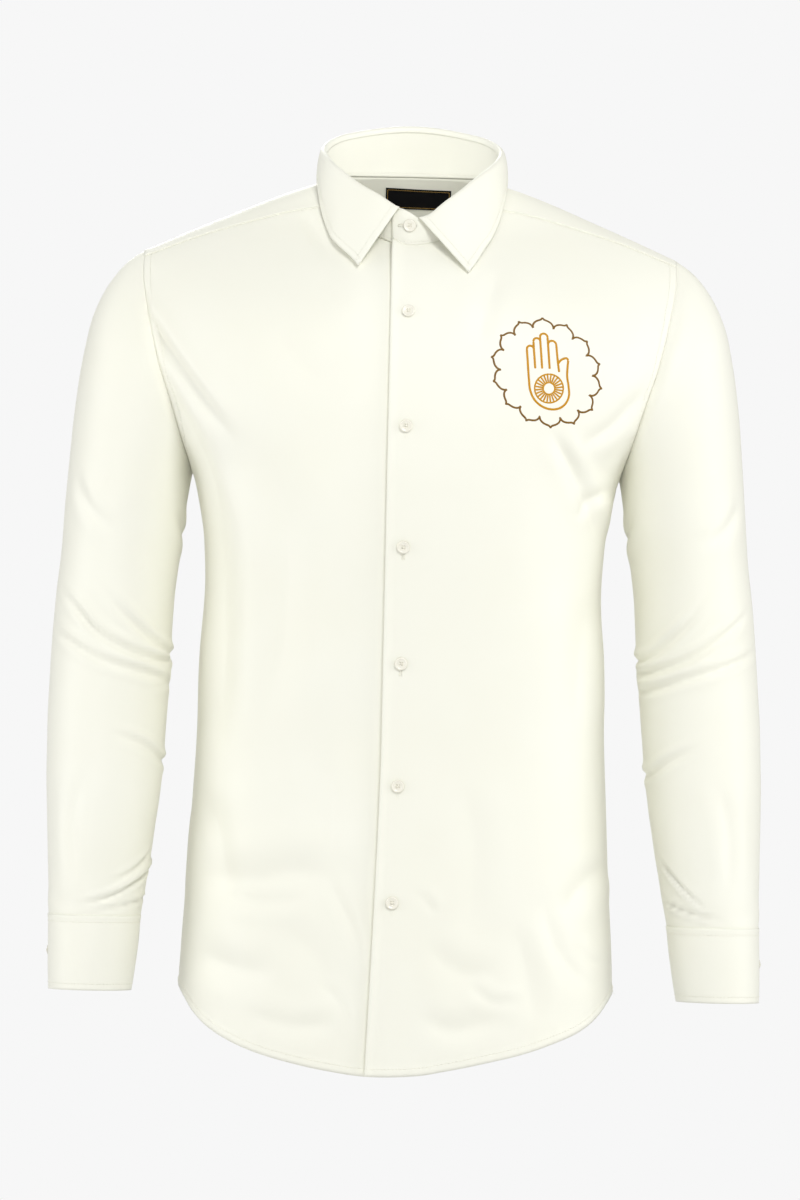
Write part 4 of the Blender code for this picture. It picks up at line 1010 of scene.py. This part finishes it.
def buttonFace(r, turn):
    thick, dish = shirtButton["thickness"], shirtButton["dish"]
    inside = thick * (dish + (1 - dish) * bump(r - shirtButton["rim"], shirtButton["rimWidth"]))
    height = np.where(r > 4.8, thick - 1.2 * ((r - 4.8) / 0.8) ** 2, inside)
    x, y, spread = r * np.cos(turn), r * np.sin(turn), shirtButton["holeSpread"] / sqrt(2)
    for hx in (-spread, spread):
        for hy in (-spread, spread):
            gap = np.hypot(x - hx, y - hy)
            height = height - 0.8 * ease((shirtButton["holeRadius"] - gap) / 0.3 + 0.5)
    return height


def button(name, point, normal, nodes):
    side = unit(np.cross([0.05, 0, 1.0], normal))  # the holes stand nearly square to the shirt
    axes = np.array([side, np.cross(normal, side), normal])
    origin = point + normal * shirtButton["lift"]
    radius = shirtButton["radius"]
    radii = np.concatenate([np.linspace(0.0, 3.0, 16), np.linspace(3.2, radius, 11)])
    turns = np.linspace(0, 2 * pi, 49)[:-1]
    r, turn = np.meshgrid(radii, turns, indexing="ij")
    face = stack(r * np.cos(turn), r * np.sin(turn), buttonFace(r, turn))
    rimX, rimY = np.cos(turns), np.sin(turns)
    under = [stack(s * rimX, s * rimY, h) for s, h in ((radius, 1.0), (5.3, 0.3), (4.6, 0.0))]
    rows = np.concatenate([face, np.array(under)])
    faces = gridFaces(rows.shape[0], 48, closed=True).tolist()
    last = (rows.shape[0] - 1) * 48
    faces.append([last + k for k in range(48)])
    cover(makeMesh(name, rows.reshape(-1, 3) @ axes + origin, faces, pearl), nodes)
    # a thread cross through the four holes
    cross = []
    for s in (-1, 1):
        ends = np.array([[-s, -1, 0], [s, 1, 0]]) * shirtButton["holeSpread"] / sqrt(2)
        high = shirtButton["thickness"] * shirtButton["dish"] - 0.05
        cross.append((ends @ axes + origin + normal * high, [normal]))
    stitchObject(name.replace("button", "thread"), cross, thread, shirtButton["thread"])


buttonholeWork = dict(length=15.0, pitch=0.55, slit=0.95, reach=0.75, bar=1.7, lift=0.05,
                      thread=(3.2, 0.5, 0.3))


# a worked buttonhole: close stitches on both sides of a slit through place, along way
def buttonhole(name, place, normal, way):
    way = unit(way - normal * (way @ normal))
    side = np.cross(normal, way)
    half, place = buttonholeWork["length"] / 2, place + normal * buttonholeWork["lift"]
    rows = []
    for k in np.arange(-half, half + 0.1, buttonholeWork["pitch"]):
        for s in (-1, 1):
            middle = place + way * k + side * s * buttonholeWork["slit"]
            reach = side * buttonholeWork["reach"]
            rows.append((np.array([middle - reach, middle + reach]), [normal]))
    for s in (-1, 1):  # a bar across each end
        middle, reach = place + way * s * (half + 0.4), side * buttonholeWork["bar"]
        rows.append((np.array([middle - reach, middle + reach]), [normal]))
    stitchObject(name, rows, thread, buttonholeWork["thread"])


upward, sideways = np.array([0.0, 0.0, 1.0]), np.array([1.0, 0.0, 0.0])
for i, level in enumerate(buttonLevels):
    if i == 0:
        share = (level - cut["neckFront"]) / (float(foldLevel(0)) - cut["neckFront"])
        place, normal = standPoint(-1.0, share), unit(np.array([0, -1, 0.05]))
    else:
        places, normals = leftSurface.onto([bodyPoint(float(lapDrift(level)) - 1.0, level)])
        place, normal = places[0], normals[0]
    button(f"shirt_button_{i + 1}", place, normal, [f"front_button_{i + 1}"])
    hole, way = (place - sideways * 2.0, sideways) if i == 0 else (place - upward * 2.4, upward)
    buttonhole(f"buttonhole_{i + 1}", hole, normal, way)
for word, hand in (("left", 1), ("right", -1)):
    section = (cuffRows[1:2] + cuffRows[2:3]) / 2
    place = sectionPoint(section, np.array([cuffStart + cuffCloth["lap"] / 2]))[0, 0]
    normal = unit((place - [(section[0, 0] + section[0, 2]) / 2, section[0, 5], place[2]]) * [1, 1, 0])
    place, normal = mirrored(place, hand), normal * [hand, 1, 1]
    button(f"cuff_shirt_button_{word}", place, normal, [f"cuff_button_{word}"])
    around = np.cross(normal, upward)
    buttonhole(f"cuff_buttonhole_{word}", place + around * 2.0 * hand, normal, around)
print("buttons done")


# the embroidery: a raised open hand with a wheel in its palm, in a ring of 14 petals

motif = dict(x=117.6, z=-156.9, ring=47.2, cusp=0.82, shoulder=0.955, petals=14, turn=-1.5, stretch=0.068,
             stretchTurn=-48.0, stroke=(1.9, 0.5))  # a stroke's width and height
openHand = dict(  # places in millimetres from the ring's middle
    edges=(-15.5, -9.5, -3.6, 2.8, 9.8), tops=(22.6, 29.2, 33.2, 27.2), lean=0.085, root=3.2,
    stroke=(2.15, 0.55),
    palm=[(-15.5, -6.0), (-15.0, -15.5), (-11.8, -23.5), (-5.6, -29.0), (1.6, -31.2), (8.8, -30.2),
          (14.6, -26.0), (17.8, -19.4), (18.0, -11.0), (17.4, -3.0), (18.4, 6.0), (19.2, 10.8)],
    thumb=[(19.2, 10.8), (18.3, 12.5), (15.4, 12.2), (12.6, 10.6), (10.4, 8.0)],
)
wheel = dict(x=2.3, y=-13.5, outer=12.2, hub=5.0, spokes=24, stroke=(1.6, 0.5))


# the ring's outline: each petal swells out from its two cusps and ends in a small point
def ringLine():
    turns, line = np.linspace(0, 360, motif["petals"] * 44 + 1), []
    tilt = radians(motif["stretchTurn"])
    axis = np.array([sin(tilt), cos(tilt)])
    for turn in turns:
        across = ((turn / (360 / motif["petals"]) + 0.5) % 1 - 0.5) * 2
        swell = sqrt(max(1 - abs(across) ** 2.1, 0.0))
        tip = np.exp(-abs(across) / 0.085)
        share = motif["cusp"] + (motif["shoulder"] - motif["cusp"]) * swell + (1 - motif["shoulder"]) * tip
        heading = radians(turn + motif["turn"])
        place = motif["ring"] * share * np.array([sin(heading), cos(heading)])
        along = (place @ axis) * axis
        # the chest pulls it a little out of round
        line.append(place + motif["stretch"] * (2 * along - place))
    return np.array(line)


# four upright fingers that share their sides, a thumb and a rounded palm, leaning a little
def handLines():
    edges, tops = openHand["edges"], openHand["tops"]
    lines = []
    for left, right, top in zip(edges, edges[1:], tops):
        middle, half = (left + right) / 2, (right - left) / 2
        lines.append([(middle - half * cos(a), top - half + half * sin(a)) for a in np.linspace(0, pi, 15)])
    for side, low, high in zip(edges[1:], tops, tops[1:]):
        low, high = min(low, high) - 2.4, max(low, high) - 3.0
        lines.append([(side, high), (side, low), (side, openHand["root"])])
    lines.append([(edges[4], tops[3] - 3.2), (edges[4] + 0.3, 12.0), (edges[4] + 0.9, 0.6)])
    lines.append(spline([(edges[0], tops[0] - 2.8), (edges[0], 8.0)] + openHand["palm"], 90))
    lines.append(spline(openHand["thumb"], 24))
    return [np.array(line) @ [[1, 0], [-openHand["lean"], 1]] for line in lines]


def wheelLines():
    x, y, outer, hub = wheel["x"], wheel["y"], wheel["outer"], wheel["hub"]
    turns = np.linspace(0, 2 * pi, 90)
    lines = [[(x + radius * sin(a), y + radius * cos(a)) for a in turns] for radius in (outer, hub)]
    for k in range(wheel["spokes"]):
        a = 2 * pi * (k + 0.5) / wheel["spokes"]
        lines.append([(x + r * sin(a), y + r * cos(a)) for r in np.linspace(hub + 0.5, outer - 0.5, 6)])
    return [np.array(line) for line in lines]


# a raised band of satin stitch along a line of motif places: its points and faces
def satinStroke(line, width, height, pitch=0.5):
    line = evenly(line, pitch)
    across = bodyPoint(motif["x"] + line[:, 0], motif["z"] + line[:, 1])
    places, normals = leftSurface.onto(across)
    along = unit(np.gradient(places, axis=0))
    side = unit(np.cross(normals, along))
    rows = []
    for k, (p, n, s) in enumerate(zip(places, normals, side)):
        swell = height * (1.0 if k % 2 else 0.8)
        half = width / 2 * (1.0 if k % 2 else 0.94)
        if k in (0, len(places) - 1):
            swell, half = swell * 0.5, half * 0.6
        rows.append([p + s * half * cos(a) + n * (swell * sin(a) - 0.15) for a in np.linspace(0, pi, 7)])
    return np.array(rows)


def embroider(name, lines, width, height, material):
    points, faces, base = [], [], 0
    for line in lines:
        rows = satinStroke(line, width, height)
        faces.extend((gridFaces(rows.shape[0], rows.shape[1]) + base).tolist())
        points.append(rows.reshape(-1, 3))
        base += rows.shape[0] * rows.shape[1]
    obj = makeMesh(name, np.concatenate(points), faces, material)
    return cover(obj, [])


# silk floss, twisted and laid in satin stitch: a soft gloss, in strands about 2.4 mm long
def silkFloss(name, color, deep):
    return mottled(name, color, deep, 2.381, Roughness=0.45, IOR=1.5, Specular_IOR_Level=0.25)[0]


bronzeSilk = silkFloss("twisted_bronze_silk_floss", "#916A26", "#63471A")
goldSilk = silkFloss("twisted_gold_silk_floss", "#D49C12", "#B57C08")
embroider("embroidery_ring", [ringLine()], *motif["stroke"], bronzeSilk)
embroider("embroidery_hand", handLines(), *openHand["stroke"], goldSilk)
embroider("embroidery_wheel", wheelLines(), *wheel["stroke"], goldSilk)
print("embroidery done")


# the label

neckLabel = dict(wall=0.5, shift=5.8, drop=4.2, tilt=0.03, half=28.5, top=8.0, bottom=-9.0, puff=(1.5, 0.25),
                 border=(27.0, 6.6, -7.6), ribs=0.5236, yarn=(1.3, 0.9, 0.25))


# the points on the back of what lies at those distances from the label's middle
def labelPoint(across, up):
    return bodyPoint(across + neckLabel["shift"], up - neckLabel["drop"] - neckLabel["tilt"] * across, True)


# damask woven in black: flat and dull. Its ribs lie 0.2 mm apart, too fine to show, so they are drawn
# about 0.52 mm apart
def damaskMaterial():
    material, tree, shader = newMaterial("woven_damask_label", "#0C0B0D", Roughness=0.75, IOR=1.4,
                                         Specular_IOR_Level=0.2)
    place = addNode(tree, "ShaderNodeTexCoord").outputs["Object"]
    settings = {"Scale": waveScale(neckLabel["ribs"]), "bands_direction": "Z"}
    ribs = addNode(tree, "ShaderNodeTexWave", settings, {"Vector": place})
    relief = {"Strength": 0.3, "Distance": 0.1 * mm}
    relief = addNode(tree, "ShaderNodeBump", relief, {"Height": ribs.outputs["Fac"]})
    tree.links.new(relief.outputs["Normal"], shader.inputs["Normal"])
    return material


def label():
    half, (puff, wave) = neckLabel["half"], neckLabel["puff"]
    rows = np.linspace(neckLabel["top"], neckLabel["bottom"], 18)[:, None]
    base = labelPoint(np.linspace(-half, half, 58)[None, :], rows)
    normals = facing(gridNormals(base), [0, -1, 0])
    puffed = puff + wave * np.sin(base[..., 0] / 9) * np.sin(base[..., 2] / 6)
    points = base + normals * puffed[..., None]
    obj = sheetObject("cloth_label", points, normals, neckLabel["wall"], damaskMaterial())
    return obj, Surface(points, normals)


labelSheet, labelSurface = label()
cover(labelSheet, ["neck_label"])
side, high, low = neckLabel["border"]
border = evenly([(-side, high), (side, high), (side, low), (-side, low), (-side, high)], 1.0)
# metallised yarn, woven in as the label's edge: a thin line of dull gold
goldYarn = newMaterial("gold_label_thread", "#B99448", Roughness=0.45, IOR=1.5)[0]
border = labelSurface.onto(labelPoint(border[:, 0], border[:, 1]), 0.05)
stitchObject("label_border", [border], goldYarn, neckLabel["yarn"])
print("label done")


# top stitching

# rows is a list of (line, distance): stitches run at that distance on the line's left
def sewn(name, surface, rows):
    return stitchObject(name, [surface.beside(line, distance) for line, distance in rows], thread)


armRow, hemRow, yokeRow = sewing["seamRow"], sewing["hemRow"], yokeCloth["row"]
sewn("stitches_front_left", leftSurface, [(leftLines["hem"], hemRow), (leftLines["arm"], armRow)])
sewn("stitches_front_right", rightSurface, [
    (rightLines["hem"][::-1], hemRow), (rightLines["arm"][::-1], armRow)])
sewn("stitches_back", backSurface, [
    (backLines["hem"][::-1], hemRow), (backLines["left"][::-1], armRow), (backLines["right"], armRow)])
sewn("stitches_yoke", yokeSurface, [
    (yokeLines["left"], -yokeRow), (yokeLines["right"], yokeRow), (yokeLines["back"], yokeRow)])
sewn("stitches_collar_leaf", leafSurface, [(leafEdge, leafFall["row"])])
sewn("stitches_collar_stand", standSurface, [(standPoints[1, 3:-3], standBand["row"])])
inner = standPoints[2, 3:-3]
inner = evenly(inner - unit(inner * [1, 1, 0]) * (standBand["wall"] + 0.05), stitch["pitch"])
stitchObject("stitches_stand_inside", [(inner, -unit(inner * [1, 1, 0]))], thread)
for word, side in (("left", 1), ("right", -1)):
    part, grid = sleeveParts[word], sleeveParts[word]["bandPoints"]
    sewn(f"stitches_cuff_{word}", part["bandSurface"], [
        (grid[0][4:-4], 6.0 * side), (grid[-1][4:-4], -5.6 * side),
        (grid[3:-3, 0], -5.0 * side), (grid[3:-3, -1], 5.0 * side)])
    sewn(f"stitches_placket_{word}", part["surface"], [(row, 0.0) for row in part["stripRows"]])
print("stitches done")


# stage, light and camera

middle, tall = (0, 0, -0.37), (1.6, 2.2)
lamps = [  # name, place, what it is aimed at, size in metres, watts
    ("key_softbox", (1.0, -2.7, 1.9), middle, (1.2, 1.2), 55.5),
    ("fill_softbox", (-1.2, -3.6, 0.0), middle, tall, 18.5),
    ("left_strip", (-3.2, -0.7, 0.2), middle, tall, 35),
    ("inside_glow", (0, -0.045, -0.01), (0, 0.07, 0.045), (0.07, 0.03), 0.031),
    ("back_softbox", (-0.5, 3.1, 1.6), middle, (1.3, 1.3), 54),
    ("right_strip", (3.2, -0.7, 0.2), middle, tall, 31),
]
stage = dict(floor=-1180, near=-4000, far=3600, half=4000, backdrop="#F7F7F7", glow=0.365)


def areaLight(name, place, target, size, energy):
    data = bpy.data.lights.new(name, "AREA")
    data.shape = "RECTANGLE"
    data.size, data.size_y = size
    data.energy = energy
    light = bpy.data.objects.new(name, data)
    light.location = place
    light.rotation_mode = "QUATERNION"
    light.rotation_quaternion = (Vector(target) - Vector(place)).to_track_quat("-Z", "Y")
    bpy.context.scene.collection.objects.link(light)


# the floor is a board painted matt: pale and even, with no gleam
def makeStage():
    pale, _tree, shader = newMaterial("pale_matte_floor", "#707070", Roughness=0.9, Emission_Strength=0.6)
    shader.inputs["Emission Color"].default_value = linear("#FFFFFF")  # keeps it pale away from the lamps
    half, near, far, level = stage["half"], stage["near"], stage["far"], stage["floor"]
    corners = [(-half, near, level), (half, near, level), (half, far, level), (-half, far, level)]
    makeMesh("floor", corners, [(0, 1, 2, 3)], pale, False)
    world = bpy.data.worlds.new("studio")
    bpy.context.scene.world = world
    world.use_nodes = True
    tree = world.node_tree
    tree.nodes.clear()
    path = addNode(tree, "ShaderNodeLightPath")
    seen = addNode(tree, "ShaderNodeBackground", {"Color": linear(stage["backdrop"]), "Strength": 1.0})
    glow = addNode(tree, "ShaderNodeBackground", {"Color": linear("#FFFFFF"), "Strength": stage["glow"]})
    both = addNode(tree, "ShaderNodeMixShader", None, {"Fac": path.outputs["Is Camera Ray"]})
    tree.links.new(glow.outputs[0], both.inputs[1])
    tree.links.new(seen.outputs[0], both.inputs[2])
    addNode(tree, "ShaderNodeOutputWorld", {"is_active_output": True}, {"Surface": both.outputs[0]})
    for lamp in lamps:
        areaLight(*lamp)
    bpy.data.objects["inside_glow"].visible_camera = False  # it only lifts the shade in the collar and yoke


view = dict(distance=9.0, frameHeight=1.032, sensor=36.0, x=-0.0029, z=-0.3527, roll=1.2)


# the photo shows the shirt leaning 1.2 degrees, which the camera's roll gives back
def makeCamera():
    data = bpy.data.cameras.new("camera")
    data.sensor_width = view["sensor"]
    data.lens = view["sensor"] * view["distance"] / view["frameHeight"]
    data.clip_end = 50.0
    camera = bpy.data.objects.new("camera", data)
    c, s = cos(radians(view["roll"])), sin(radians(view["roll"]))
    camera.matrix_world = Matrix(((c, -s, 0, view["x"]), (0, 0, -1, -view["distance"]), (s, c, 0, view["z"]),
                                  (0, 0, 0, 1)))
    bpy.context.scene.collection.objects.link(camera)
    bpy.context.scene.camera = camera


makeStage()
makeCamera()
bpy.context.scene.view_settings.view_transform = "Standard"

flats = [  # piece, flat width and length in metres, cut area in square metres
    (frontLeft, (0.31, 0.77), 0.189), (frontRight, (0.31, 0.77), 0.189), (backSheet, (0.57, 0.70), 0.302),
    (yokeSheet, (0.49, 0.20), 0.067), (standSheet, (0.44, 0.046), 0.0146),
    (leafSheet, (0.46, 0.078), 0.0238),
]
for part in (sleeveParts["left"], sleeveParts["right"]):
    flats += [(part["cloth"], (0.38, 0.58), 0.165), (part["strip"], (0.034, 0.145), None),
              (part["band"], (0.265, 0.065), None)]
flats.append((labelSheet, (0.057, 0.021), None))
